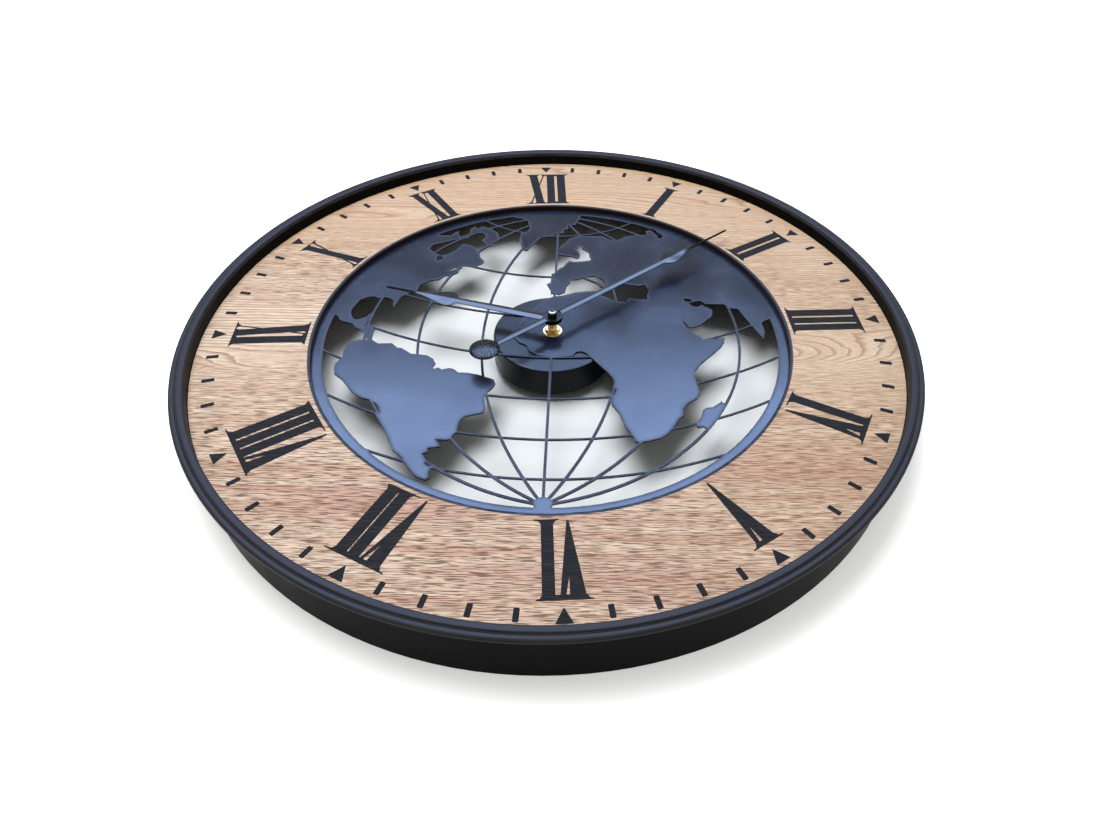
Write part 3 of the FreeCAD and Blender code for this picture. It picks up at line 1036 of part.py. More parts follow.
def make_train():
    motion = module_of("motion_distance", CANNON_TEETH, MINUTE_WHEEL_TEETH)
    hour_module = module_of("motion_distance", MINUTE_PINION_TEETH, HOUR_WHEEL_TEETH)
    third_module = module_of("third_distance", CENTRE_WHEEL_TEETH, THIRD_PINION_TEETH)
    second_module = module_of("second_distance", THIRD_WHEEL_TEETH, SECOND_PINION_TEETH)
    transfer_module = module_of("transfer_distance", SECOND_WHEEL_TEETH, TRANSFER_PINION_TEETH)
    rotor_module = module_of("rotor_distance", TRANSFER_WHEEL_TEETH, ROTOR_PINION_TEETH)
    thick = size("sizes.wheel_thickness")
    extra = size("sizes.pinion_overlap")
    play = size("sizes.end_play")
    pivot = size("sizes.pivot_radius")
    reach = size("sizes.pivot_length")
    low = {wheel: size(wheel_low(wheel)) for wheel in ("hour", "minute", "centre", "third", "second")}
    shoulder = {name: size(height) for name, height in SHOULDERS.items()}
    plate_low = size(f"{CASE_BACK} + {LEVELS['plate']}")
    foot = size("sizes.arbor_foot_radius")

    # minute arbor with its cannon pinion, and the centre wheel gripped on its foot
    arbor_radius = size("sizes.arbor_radius")
    thread = size("sizes.arbor_thread_radius")
    cannon_low = low["minute"] - extra
    cannon_top = low["minute"] + thick + extra
    seat = size(MINUTE_HAND_LOW)
    end = size(f"{MINUTE_HAND_LOW} + sizes.hand_thickness + sizes.cap_height - 2 * sizes.cap_ease")
    arbor = gear_shape(CANNON_TEETH, motion, PINION_ROOT_SHARE, cannon_low, cannon_top)
    arbor = arbor.multiFuse([
        ring_shape(foot, 0, shoulder["centre"], cannon_low),
        ring_shape(pivot, 0, shoulder["centre"] - reach, shoulder["centre"]),
        ring_shape(arbor_radius, 0, cannon_top, seat),
        ring_shape(thread, 0, seat, end),
    ])
    place_on_axis(shaped("minute_arbor", largest_solid(arbor)), "centre")
    centre_low = low["centre"]
    grip = size("sizes.arbor_foot_radius + sizes.slip_gap / 2")
    centre_wheel = gear_shape(CENTRE_WHEEL_TEETH, third_module, WHEEL_ROOT_SHARE, centre_low,
                              centre_low + thick, grip)
    hub_radius = 2 * foot
    centre_wheel = centre_wheel.fuse(ring_shape(hub_radius, grip, centre_low - thick, centre_low))
    place_on_axis(shaped("centre_wheel", largest_solid(centre_wheel)), "centre")

    # motion work: minute wheel with its pinion on the setting arbor
    setting_turn = mesh_turn(MINUTE_WHEEL_TEETH, SETTING_DIRECTION + 180, CANNON_TEETH, 0)
    pinion_top = low["hour"] + thick + extra
    stem_end = size(f"{CASE_BACK} + sizes.case_wall + sizes.wheel_thickness")
    minute_wheel = gear_shape(MINUTE_WHEEL_TEETH, motion, WHEEL_ROOT_SHARE, low["minute"],
                              low["minute"] + thick)
    minute_wheel = minute_wheel.multiFuse([
        gear_shape(MINUTE_PINION_TEETH, hour_module, PINION_ROOT_SHARE,
                   low["minute"] + thick, pinion_top),
        ring_shape(pivot, 0, pinion_top, pinion_top + play + reach),
        ring_shape(foot, 0, stem_end, low["minute"]),
    ])
    place_on_axis(shaped("minute_wheel", largest_solid(minute_wheel)), "setting", setting_turn)

    # hour wheel with its tube
    hour_turn = mesh_turn(HOUR_WHEEL_TEETH, SETTING_DIRECTION, MINUTE_PINION_TEETH, setting_turn)
    bore = size(TUBE_BORE)
    tube = size("sizes.tube_radius")
    hour_low = low["hour"]
    hour_wheel = gear_shape(HOUR_WHEEL_TEETH, hour_module, WHEEL_ROOT_SHARE, hour_low, hour_low + thick, bore)
    hour_wheel = hour_wheel.fuse(ring_shape(tube, bore, hour_low - extra, size(TUBE_TOP)))
    place_on_axis(shaped("hour_wheel", largest_solid(hour_wheel)), "centre", hour_turn)

    # the going train down to the rotor; each pinion meets the wheel before it
    third_turn = mesh_turn(THIRD_PINION_TEETH, THIRD_DIRECTION + 180, CENTRE_WHEEL_TEETH, 0)
    third = train_arbor(THIRD_WHEEL_TEETH, second_module, low["third"],
                        THIRD_PINION_TEETH, third_module, centre_low, shoulder["third"], plate_low)
    place_on_axis(shaped("third_wheel", third), "third", third_turn)
    second_turn = mesh_turn(SECOND_PINION_TEETH, SECOND_DIRECTION + 180, THIRD_WHEEL_TEETH, third_turn)
    second = train_arbor(SECOND_WHEEL_TEETH, transfer_module, low["second"],
                         SECOND_PINION_TEETH, second_module, low["third"],
                         shoulder["second"], plate_low)
    place_on_axis(shaped("second_wheel", second), "second", second_turn)
    transfer_turn = mesh_turn(TRANSFER_PINION_TEETH, TRANSFER_DIRECTION + 180,
                              SECOND_WHEEL_TEETH, second_turn)
    transfer = train_arbor(TRANSFER_WHEEL_TEETH, rotor_module, low["third"],
                           TRANSFER_PINION_TEETH, transfer_module, low["second"],
                           shoulder["transfer"], plate_low)
    place_on_axis(shaped("transfer_wheel", transfer), "transfer", transfer_turn)

    # rotor: a magnet below its pinion
    rotor_turn = mesh_turn(ROTOR_PINION_TEETH, ROTOR_DIRECTION + 180, TRANSFER_WHEEL_TEETH, transfer_turn)
    magnet_low = shoulder["rotor"]
    magnet_top = magnet_low + size("sizes.magnet_length")
    rotor_pinion_low = low["third"] - extra
    rotor_pinion_top = low["third"] + thick + extra
    rotor = gear_shape(ROTOR_PINION_TEETH, rotor_module, PINION_ROOT_SHARE,
                       rotor_pinion_low, rotor_pinion_top)
    rotor = rotor.multiFuse([
        ring_shape(pivot, 0, magnet_low - reach, plate_low + reach),
        ring_shape(size("sizes.magnet_radius"), 0, magnet_low, magnet_top),
    ])
    place_on_axis(shaped("rotor", largest_solid(rotor)), "rotor", rotor_turn)


def train_arbor(wheel_teeth, wheel_module, wheel_level, pinion_teeth, pinion_module, mate_level,
                shoulder, plate_low):
    """Wheel and pinion on one arbor, with a pivot at each end."""
    thick = size("sizes.wheel_thickness")
    extra = size("sizes.pinion_overlap")
    pivot = size("sizes.pivot_radius")
    reach = size("sizes.pivot_length")
    play = size("sizes.end_play")
    body_radius = pivot + size("sizes.pivot_gap")
    pinion_low = mate_level - extra
    pinion_top = mate_level + thick + extra
    shape = gear_shape(wheel_teeth, wheel_module, WHEEL_ROOT_SHARE, wheel_level, wheel_level + thick)
    return largest_solid(shape.multiFuse([
        gear_shape(pinion_teeth, pinion_module, PINION_ROOT_SHARE, pinion_low, pinion_top),
        ring_shape(body_radius, 0, shoulder, plate_low - play),
        ring_shape(pivot, 0, shoulder - reach, plate_low + reach),
    ]))


def make_train_plate():
    """Plate that holds the upper pivots of the going train."""
    body = new_body("train_plate")
    low = f"{CASE_BACK} + {LEVELS['plate']}"
    sketch = sketch_on(body, "train_plate_outline", height=low)
    edge = "sizes.post_radius"
    draw_rectangle(sketch, f"{CASE_INSIDE_LEFT} - {edge} / 2", f"{PLATE_RIGHT} + {edge}",
                   f"{CASE_INSIDE_BOTTOM} - {edge} / 2", f"{CASE_INSIDE_TOP} + {edge} / 2")
    pad(body, sketch, "sizes.train_plate_thickness")
    through = "sizes.train_plate_thickness + 2 * sizes.overrun"
    start = f"{low} - sizes.overrun"
    for name in ("third", "second", "transfer", "rotor"):
        bored(body, f"plate_{name}_hole", "sizes.pivot_radius + sizes.pivot_gap", start, through, *AXES[name])
    bored(body, "plate_centre_hole", "sizes.arbor_foot_radius + sizes.pivot_gap", start, through)
    bored(body, "plate_setting_hole", "sizes.arbor_foot_radius + sizes.pivot_gap", start, through,
          *AXES["setting"])


def make_motor():
    """Stator, coil on its bobbin, and the circuit board with its crystal."""
    low = size(STATOR_LOW)
    thick = size("sizes.stator_thickness")
    rotor = FreeCAD.Vector(size(AXES["rotor"][0]), size(AXES["rotor"][1]), low)
    hole = size("sizes.magnet_radius + sizes.stator_hole_gap")
    ring = hole + size("sizes.stator_ring_wall")
    width = size("sizes.stator_arm_width")
    coil_y = size("sizes.coil_distance")
    left = size("sizes.coil_offset - sizes.coil_length / 2 - sizes.bobbin_flange") - width
    right = size("sizes.coil_offset + sizes.coil_length / 2 + sizes.bobbin_flange")
    arm_low = rotor.y - width / 2
    stator = Part.makeCylinder(ring, thick, rotor)
    stator = stator.multiFuse([
        Part.makeBox(width, coil_y + width / 2 - arm_low, thick, FreeCAD.Vector(left, arm_low, low)),
        Part.makeBox(right + width - rotor.x, width, thick, FreeCAD.Vector(rotor.x, arm_low, low)),
        Part.makeBox(width, coil_y + width / 2 - arm_low, thick, FreeCAD.Vector(right, arm_low, low)),
    ])
    stator = stator.cut(Part.makeCylinder(hole, thick, rotor))
    shaped("stator_plate", largest_solid(stator))

    along = FreeCAD.Vector(1, 0, 0)
    core_radius = size("sizes.coil_core_radius")
    coil_z = low + thick + core_radius
    start = size("sizes.coil_offset - sizes.coil_length / 2")
    length = size("sizes.coil_length")
    flange = size("sizes.bobbin_flange")
    coil = size("sizes.coil_radius")
    sleeve = core_radius + flange

    def tube(outer, inner, begin, span):
        base = FreeCAD.Vector(begin, coil_y, coil_z)
        shape = Part.makeCylinder(outer, span, base, along)
        return shape.cut(Part.makeCylinder(inner, span, base, along)) if inner else shape

    slip = size("sizes.slip_gap")
    core = tube(core_radius, 0, start - flange - width, length + 2 * (flange + width))
    shaped("coil_core", core)
    bobbin = tube(sleeve, core_radius + slip, start - flange, length + 2 * flange)
    bobbin = bobbin.multiFuse([
        tube(coil, core_radius + slip, start - flange, flange),
        tube(coil, core_radius + slip, start + length, flange),
    ])
    shaped("coil_bobbin", largest_solid(bobbin))
    shaped("coil_winding", tube(coil - flange / 2, sleeve, start, length))


def make_circuit():
    board = new_body("circuit_board")
    low = f"{CASE_BACK} + sizes.board_level"
    right = BOARD_RIGHT
    left = f"{right} - sizes.board_width"
    bottom = CASE_INSIDE_BOTTOM
    sketch = sketch_on(board, "board_outline", height=low)
    draw_rectangle(sketch, left, right, bottom, f"{bottom} + sizes.board_length")
    pad(board, sketch, "sizes.board_thickness")
    crystal_z = size(f"{low} + sizes.board_thickness + sizes.crystal_radius")
    base = FreeCAD.Vector(size(f"{right} - 2 * sizes.crystal_radius"),
                          size(f"{bottom} + 2 * sizes.crystal_radius"), crystal_z)
    can = Part.makeCylinder(size("sizes.crystal_radius"), size("sizes.crystal_length"), base,
                            FreeCAD.Vector(0, 1, 0))
    shaped("quartz_crystal", can)


def make_battery():
    radius = size("sizes.battery_radius")
    length = size("sizes.battery_length")
    nub = size("sizes.nub_length")
    up = size(BAY_CENTRE)
    middle = size(f"{CASE_FRONT} - sizes.case_wall - sizes.slip_gap - sizes.battery_radius")
    start = -(length + nub) / 2
    along = FreeCAD.Vector(1, 0, 0)
    cell = Part.makeCylinder(radius, length, FreeCAD.Vector(start, up, middle), along)
    cell = cell.makeChamfer(nub / 2, cell.Edges[:1] + cell.Edges[2:])
    tip = Part.makeCylinder(size("sizes.nub_radius"), nub, FreeCAD.Vector(start + length, up, middle), along)
    shaped("battery", largest_solid(cell.fuse(tip)))

    wall = size("sizes.contact_wall")
    width = size("sizes.contact_width")
    height = size("sizes.contact_height")
    gap = size("sizes.contact_gap")
    inside = size(f"{HALF_CASE} - sizes.case_wall")
    low = middle - height / 2

    def strip(side, face):
        """Bent strip: one leg on the case wall, one on the battery, joined at the front."""
        outer = side * (inside - gap)
        inner = side * (face + gap)
        edge = up - width / 2
        outer_leg = FreeCAD.Vector(min(outer, outer - side * wall), edge, low)
        inner_leg = FreeCAD.Vector(min(inner, inner + side * wall), edge, low)
        bridge = FreeCAD.Vector(min(outer, inner), edge, low + height - wall)
        return largest_solid(Part.makeBox(wall, width, height, outer_leg).multiFuse([
            Part.makeBox(wall, width, height, inner_leg),
            Part.makeBox(abs(outer - inner), width, wall, bridge),
        ]))

    shaped("positive_contact", strip(1, start + length + nub))
    shaped("negative_contact", strip(-1, -start))


def make_setting_knob():
    """Ribbed knob behind the case; its stem takes the setting arbor."""
    top = size(f"{CASE_BACK} - sizes.knob_gap")
    low = top - size("sizes.knob_height")
    radius = size("sizes.knob_radius")
    rib = size("sizes.rib_depth")
    ribs = 24
    points = []
    for index in range(ribs):
        for share, depth in ((-0.3, rib), (-0.2, 0), (0.2, 0), (0.3, rib)):
            angle = 2 * math.pi * (index + share) / ribs
            distance = radius - depth
            points.append(FreeCAD.Vector(distance * math.cos(angle), distance * math.sin(angle), low))
    disc = Part.Face(Part.makePolygon(points + points[:1])).extrude(FreeCAD.Vector(0, 0, top - low))
    stem_end = size(f"{CASE_BACK} + sizes.case_wall + sizes.wheel_thickness")
    knob = disc.fuse(ring_shape(size("sizes.knob_stem_radius"), 0, top, stem_end))
    place_on_axis(shaped("setting_knob", largest_solid(knob)), "setting")


# Hands: stations as shares of the length, half widths as shares of the stock and the leaf

HOUR_STOCK_SHARES = ((0.03, 1.0), (0.3, 1.0), (0.569, 0.86))
HOUR_LEAF_SHARES = ((0.577, 0.62), (0.59, 0.88), (0.611, 1.0), (0.63, 0.98), (0.656, 0.87),
                    (0.689, 0.68), (0.721, 0.49), (0.754, 0.34), (0.787, 0.22), (0.833, 0.13))
MINUTE_STOCK_SHARES = ((0.025, 1.08), (0.25, 1.04), (0.602, 0.96))
MINUTE_LEAF_SHARES = ((0.612, 0.62), (0.628, 0.83), (0.645, 1.0), (0.665, 0.95), (0.689, 0.73),
                      (0.712, 0.51), (0.735, 0.34), (0.76, 0.23), (0.796, 0.14))
TAIL_WIDTH_SHARE = 0.8
# Section of the counterweight's dome, from its edge to its middle: shares of its radius and height
DOME_SHARES = ((1.0, 0.0), (0.87, 0.46), (0.66, 0.72), (0.36, 0.93), (0.0, 1.0))


def hand_section(along, half_width, edge, ridge):
    """Roof-shaped section across a hand."""
    corners = [(-half_width, 0), (half_width, 0), (half_width, edge), (0, edge + ridge), (-half_width, edge)]
    points = [FreeCAD.Vector(along, across, up) for across, up in corners]
    return Part.makePolygon(points + points[:1])


def hand_blade(stations, edge, ridge):
    """Ridged blade through stations of (distance, half width)."""
    sections = [hand_section(along, half, edge, ridge) for along, half in stations]
    return Part.makeLoft(sections, True, True)


def hand_stations(length, stock, stock_shares, leaf, leaf_shares):
    tip = size("sizes.needle_width") / 2
    stations = [(length * share, stock / 2 * width) for share, width in stock_shares]
    stations += [(length * share, leaf / 2 * width) for share, width in leaf_shares]
    return stations + [(length, tip)]


def place_hand(feature, height, clock_angle):
    """Lay a hand that was built along +X at its clock angle."""
    place = FreeCAD.Vector(0, 0, size(height))
    feature.Placement = turned_by(90 - size(f"sizes.{clock_angle}"), place)


def make_hour_hand():
    edge = size("sizes.hand_thickness")
    ridge = size("sizes.hand_ridge")
    hub = size("sizes.hub_disc_radius")
    collar = size("sizes.hub_collar_length")
    stations = hand_stations(size("sizes.hour_hand_length"), size("sizes.hour_hand_width"),
                             HOUR_STOCK_SHARES, size("sizes.hour_leaf_width"), HOUR_LEAF_SHARES)
    blade = hand_blade(stations, edge, ridge).cut(ring_shape(hub, 0, edge, edge + ridge))
    hand = blade.multiFuse([
        ring_shape(hub, 0, 0, edge),
        ring_shape(size(COLLAR_RADIUS), 0, -collar, 0),
    ])
    bore = size("sizes.tube_radius + sizes.slip_gap")
    hand = hand.cut(ring_shape(bore, 0, -collar, edge + ridge))
    place_hand(shaped("hour_hand", largest_solid(hand)), HOUR_HAND_LOW, "hour_hand_angle")


def make_minute_hand():
    edge = size("sizes.hand_thickness")
    ridge = size("sizes.hand_ridge")
    hub = size("sizes.hub_disc_radius")
    stock = size("sizes.minute_hand_width")
    reach = size("sizes.counterweight_reach")
    stations = hand_stations(size("sizes.minute_hand_length"), stock, MINUTE_STOCK_SHARES,
                             size("sizes.minute_leaf_width"), MINUTE_LEAF_SHARES)
    tail = [(-reach, stock / 2 * TAIL_WIDTH_SHARE), stations[0]]
    over_hub = ring_shape(hub, 0, edge, edge + ridge)
    blade = hand_blade(stations, edge, ridge).cut(over_hub)
    tail_blade = hand_blade(tail, edge, ridge).cut(over_hub)
    hand = blade.multiFuse([tail_blade, ring_shape(hub, 0, 0, edge)])
    hand = hand.cut(ring_shape(size("sizes.arbor_thread_radius + sizes.slip_gap"), 0, 0, edge + ridge))
    seat = size("sizes.counterweight_radius")
    recess = size("sizes.counterweight_radius + sizes.slip_gap")
    hand = hand.cut(Part.makeCylinder(recess, edge + ridge, FreeCAD.Vector(-reach, 0, 0)))
    place_hand(shaped("minute_hand", largest_solid(hand)), MINUTE_HAND_LOW, "minute_hand_angle")

    # counterweight: a domed disc that the tail runs into
    rim = size("sizes.counterweight_rim")
    dome = size("sizes.counterweight_dome")
    section = [FreeCAD.Vector(0, 0, 0), FreeCAD.Vector(seat, 0, 0)]
    section += [FreeCAD.Vector(seat * out, 0, rim + dome * up) for out, up in DOME_SHARES]
    face = Part.Face(Part.makePolygon(section + section[:1]))
    weight = shaped("counterweight", face.revolve(FreeCAD.Vector(), FreeCAD.Vector(0, 0, 1), 360))
    turn = 90 - size("sizes.minute_hand_angle")
    middle = turned_by(turn).multVec(FreeCAD.Vector(-reach, 0, size(MINUTE_HAND_LOW)))
    weight.Placement = turned_by(turn, middle)


def make_cap_nut():
    body = new_body("cap_nut")
    low = f"{MINUTE_HAND_LOW} + sizes.hand_thickness"
    top = f"{low} + sizes.cap_height"
    thread = "sizes.arbor_thread_radius + sizes.slip_gap"
    blind = f"{top} - 1.5 * sizes.cap_ease"
    turned(body, "cap_section", [
        (thread, low),
        (CAP_RADIUS, low),
        *eased(CAP_RADIUS, top, "sizes.cap_ease", inward=False),
        ("0", top),
        ("0", blind),
        (thread, blind),
    ])


def build():
    make_side_band()
    make_front_bezel()
    make_dial_ring()
    make_brackets()
    make_screws("bracket_screws", BRACKET_SCREW_CIRCLE, BRACKETS, f"{PLATE_TOP} - sizes.bracket_wall")
    make_screws("plate_screws", PLATE_SCREW_CIRCLE, PLATE_SCREWS, PLATE_BACK)
    make_hanger()
    make_map_plate()
    make_movement_cup()
    make_gasket()
    make_brass_washer()
    make_bush_nut()
    make_threaded_bush()
    make_case_front()
    make_case_back()
    make_train_plate()
    make_train()
    make_motor()
    make_circuit()
    make_battery()
    make_setting_knob()
    make_hour_hand()
    make_minute_hand()
    make_cap_nut()
    document.recompute()


def sub_parts():
    """The objects that stand for one piece, or one group of like pieces, each."""
    return [item for item in document.Objects
            if item.TypeId in ("PartDesign::Body", "Part::Feature")]


def check():
    for item in document.Objects:
        if "Invalid" in item.State or "Error" in item.State:
            raise ValueError(f"{item.Label} did not build")
    for item in sub_parts():
        if item.Shape.isNull() or not item.Shape.isValid() or not item.Shape.Solids:
            raise ValueError(f"{item.Label} has no sound shape")


build()
check()
for item in sub_parts():
    item.Shape.exportStep(f"parts/{item.Label}.step")
    print(item.Label, len(item.Shape.Solids), "solids", round(item.Shape.Volume), "mm3")
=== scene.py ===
"""Looks of the world time clock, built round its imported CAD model. Lengths are metres."""
import math

import bmesh
import bpy
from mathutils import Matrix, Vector

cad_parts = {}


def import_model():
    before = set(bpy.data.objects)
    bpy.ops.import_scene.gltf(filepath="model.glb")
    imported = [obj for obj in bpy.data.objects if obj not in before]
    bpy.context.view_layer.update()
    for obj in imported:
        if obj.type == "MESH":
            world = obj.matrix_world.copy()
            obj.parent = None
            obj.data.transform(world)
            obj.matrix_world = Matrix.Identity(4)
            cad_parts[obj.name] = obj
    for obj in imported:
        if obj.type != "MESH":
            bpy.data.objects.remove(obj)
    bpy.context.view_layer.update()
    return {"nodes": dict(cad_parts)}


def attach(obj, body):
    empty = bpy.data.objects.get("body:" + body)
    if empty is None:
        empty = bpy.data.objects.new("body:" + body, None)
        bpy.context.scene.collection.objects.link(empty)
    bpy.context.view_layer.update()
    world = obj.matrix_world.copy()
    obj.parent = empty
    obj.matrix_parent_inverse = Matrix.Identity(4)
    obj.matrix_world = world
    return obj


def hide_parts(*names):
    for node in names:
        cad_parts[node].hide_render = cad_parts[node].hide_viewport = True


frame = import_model()
NODES = frame["nodes"]
MM = 0.001

# The clock's sizes in millimetres, as the solids have them
DIAL_TOP = 40.0
BAND_INSIDE = 289.3
BAND_TOP = 49.5
RIM_RADIUS = 300.0
PLATE_BACK = 33.8
TAB_BACK = 33.8
MINUTE_HAND_ANGLE = 53


# Node materials

def linear(red, green, blue):
    """Colour that is written as on a screen, 0 to 255, as the shader wants it."""
    def channel(value):
        share = value / 255
        return share / 12.92 if share <= 0.04045 else ((share + 0.055) / 1.055) ** 2.4
    return (channel(red), channel(green), channel(blue), 1.0)


def scaled(colour, share):
    """A colour made darker or lighter by a share."""
    return tuple(share * part for part in colour[:3]) + (1,)


class Look:
    """A material and short ways to add nodes to it."""

    def __init__(self, name):
        self.material = bpy.data.materials.new(name)
        self.material.use_nodes = True
        self.tree = self.material.node_tree
        self.shader = self.tree.nodes["Principled BSDF"]
        self.place = self.node("ShaderNodeTexCoord").outputs["Object"]

    def node(self, kind, inputs=None, **settings):
        node = self.tree.nodes.new(kind)
        for key, value in settings.items():
            setattr(node, key, value)
        for key, value in (inputs or {}).items():
            self.feed(node.inputs[key], value)
        return node

    def feed(self, socket, value):
        if isinstance(value, bpy.types.NodeSocket):
            self.tree.links.new(value, socket)
        else:
            socket.default_value = value

    def set(self, **values):
        """Feed the shader's inputs, named with _ for a space."""
        for key, value in values.items():
            self.feed(self.shader.inputs[key.replace("_", " ")], value)

    def math(self, operation, first, second=0.0, third=0.0):
        inputs = {0: first, 1: second, 2: third}
        return self.node("ShaderNodeMath", inputs, operation=operation).outputs[0]

    def times(self, first, second):
        return self.math("MULTIPLY", first, second)

    def greater(self, first, second):
        return self.math("MAXIMUM", first, second)

    def stretched(self, along, across, up=None):
        """The place, scaled unevenly, in cycles per metre."""
        scale = (along, across, across if up is None else up)
        return self.node("ShaderNodeMapping", {"Vector": self.place, "Scale": scale}).outputs[0]

    def noise(self, place, scale=1.0, detail=2.0, roughness=0.5):
        inputs = {"Vector": place, "Scale": scale, "Detail": detail, "Roughness": roughness}
        return self.node("ShaderNodeTexNoise", inputs).outputs[0]

    def spread(self, value, low, high, to_low=0.0, to_high=1.0):
        """A value from low to high, spread over to_low to to_high and held there beyond."""
        inputs = {0: value, 1: low, 2: high, 3: to_low, 4: to_high}
        return self.node("ShaderNodeMapRange", inputs).outputs[0]

    def blend(self, factor, first, second):
        """From the first colour to the second one as the factor goes from 0 to 1."""
        node = self.node("ShaderNodeMix", data_type="RGBA")
        # the sockets of a mix of colours
        for socket, value in ((0, factor), (6, first), (7, second)):
            self.feed(node.inputs[socket], value)
        return node.outputs[2]

    def bump(self, height, distance, strength=1.0):
        inputs = {"Height": height, "Distance": distance, "Strength": strength}
        return self.node("ShaderNodeBump", inputs).outputs[0]

    def axis(self, name, vector=None):
        return self.node("ShaderNodeSeparateXYZ", {0: vector or self.place}).outputs[name]

    def normal(self):
        return self.axis("Z", self.node("ShaderNodeNewGeometry").outputs["Normal"])

    def length(self, vector):
        return self.node("ShaderNodeVectorMath", {0: vector}, operation="LENGTH").outputs["Value"]

    def specular(self, level):
        self.shader.inputs["Specular IOR Level"].default_value = level


DUST = linear(160, 164, 170)


def painted(name, colour, roughness, level, peel=0.6, dust=0.1, grit=(2600, 0.66, 0.74)):
    """Sprayed paint: faint orange peel, uneven gloss and a little dust."""
    look = Look(name)
    fine = look.noise(look.place, scale=900)
    broad = look.noise(look.place, scale=22, detail=3)
    grit_scale, grit_start, grit_full = grit
    specks = look.noise(look.place, grit_scale, detail=1)
    specks = look.spread(specks, grit_start, grit_full)
    base = look.blend(look.spread(broad, 0.35, 0.7), scaled(colour, 0.8), colour)
    look.set(Base_Color=look.blend(look.times(specks, dust), base, DUST),
             Roughness=look.spread(broad, 0.3, 0.7, roughness - 0.06, roughness + 0.08),
             Normal=look.bump(fine, distance=0.00004 * peel))
    look.specular(level)
    return look


# How far light is followed inside the sheet, in metres, to tell its bars from its lands
BAR_REACH = 0.0026
# Dark colour of the painted shade on the sheet's narrow bars and cut edges
PAINTED_BAR_SHADE = linear(30, 29, 31)


def cut_sheet(name, colour, roughness, level):
    """Painted sheet with fine rub marks, partly wear and partly a painted sheen, drawn lighter; its cut
    edges and narrow bars are duller and get painted shade, a dark colour.
    """
    look = painted(name, colour, roughness, level, peel=0.5, dust=0.05)
    inputs = look.shader.inputs
    base, dull = (inputs[key].links[0].from_socket for key in ("Base Color", "Roughness"))
    flat = look.spread(look.math("ABSOLUTE", look.normal()), 0.5, 0.8)
    # rub marks: real wear, drawn lighter as a painted sheen
    rub_and_sheen_marks = look.noise(look.stretched(along=260, across=30), detail=4, roughness=0.7)
    rub_wear_and_sheen = look.blend(look.spread(rub_and_sheen_marks, 0.62, 0.8, 0, 0.35), base, scaled(colour, 1.9))
    inner = look.node("ShaderNodeAmbientOcclusion", {"Distance": BAR_REACH},
                      inside=True, only_local=True, samples=16).outputs["AO"]
    broad = look.times(look.spread(inner, 0.09, 0.19), flat)
    # painted shade: narrow bars and cut edges take a dark colour in place of the sheen they lack
    look.set(Base_Color=look.blend(broad, PAINTED_BAR_SHADE, rub_wear_and_sheen),
             Roughness=look.math("MULTIPLY_ADD", look.math("SUBTRACT", 1.0, broad), 0.5, dull))
    return look


def metal(name, colour, roughness, scratch):
    """Turned or drawn metal with fine marks, in cycles per metre on each axis, and slight tarnish."""
    look = Look(name)
    marks = look.noise(look.stretched(*scratch), scale=3, detail=3)
    patches = look.noise(look.place, scale=260, detail=3)
    look.set(Base_Color=look.blend(look.spread(patches, 0.35, 0.7), colour, scaled(colour, 0.62)),
             Metallic=1.0,
             Roughness=look.spread(marks, 0.3, 0.7, roughness - 0.08, roughness + 0.14),
             Normal=look.bump(marks, distance=0.00003))
    return look


def moulded(name, colour, roughness, grain_scale, level=0.4):
    """Moulded plastic or rubber with a fine grain."""
    look = Look(name)
    fine = look.noise(look.place, grain_scale)
    broad = look.noise(look.place, scale=60, detail=3)
    light = tuple(min(1.0, 1.25 * part + 0.004) for part in colour[:3]) + (1,)
    look.set(Base_Color=look.blend(look.spread(broad, 0.3, 0.75), colour, light),
             Roughness=look.spread(fine, 0.3, 0.7, roughness - 0.06, roughness + 0.1),
             Normal=look.bump(fine, distance=0.00005))
    look.specular(level)
    return look


# The veneer's zones: place on the dial, and reach along and across the grain, in millimetres
CALM_ZONES = ((-245, -5, 70, 60), (245, -44, 80, 50), (-170, 175, 90, 22), (255, 100, 60, 50))
FLUSHED_ZONES = ((185, -172, 95, 17), (-125, -184, 80, 19), (60, -254, 130, 13))
# The same for its cathedral figures, and the rings in each
FIGURES = (
    ((-190, 178, 130, 20), 7.0),
    ((235, 184, 150, 20), 7.0),
    ((150, -46, 150, 32), 17.0),
    ((-215, -44, 90, 16), 5.0),
    ((-30, -250, 210, 17), 4.0),
    ((60, 262, 160, 12), 4.0),
    ((140, -176, 150, 12), 3.0),
)
RING_PITCH = 3.8
WAVER_RINGS = 7.0
RIPPLE_RINGS = 0.55
# Degrees that the grain falls to the right
GRAIN_TURN = 4.0
# Radii on the dial, in metres, between which the dark band round the map begins and is full
DARK_RIM_START, DARK_RIM_FULL = 0.2012, 0.2006


def bell(look, along, across, zone):
    """One in the middle of a zone, falling off softly with the distance from it."""
    x, y, reach_x, reach_y = zone
    turn = math.radians(GRAIN_TURN)
    x, y = x * math.cos(turn) - y * math.sin(turn), x * math.sin(turn) + y * math.cos(turn)
    dx = look.times(look.math("SUBTRACT", along, x * MM), 1 / (reach_x * MM))
    dy = look.times(look.math("SUBTRACT", across, y * MM), 1 / (reach_y * MM))
    square = look.math("ADD", look.times(dx, dx), look.times(dy, dy))
    return look.math("EXPONENT", look.times(square, -1.0))


def turned(name):
    """Look whose place follows the veneer's grain."""
    look = Look(name)
    turn = (0, 0, math.radians(GRAIN_TURN))
    place = {"Vector": look.place, "Rotation": turn}
    look.place = look.node("ShaderNodeMapping", place).outputs[0]
    return look


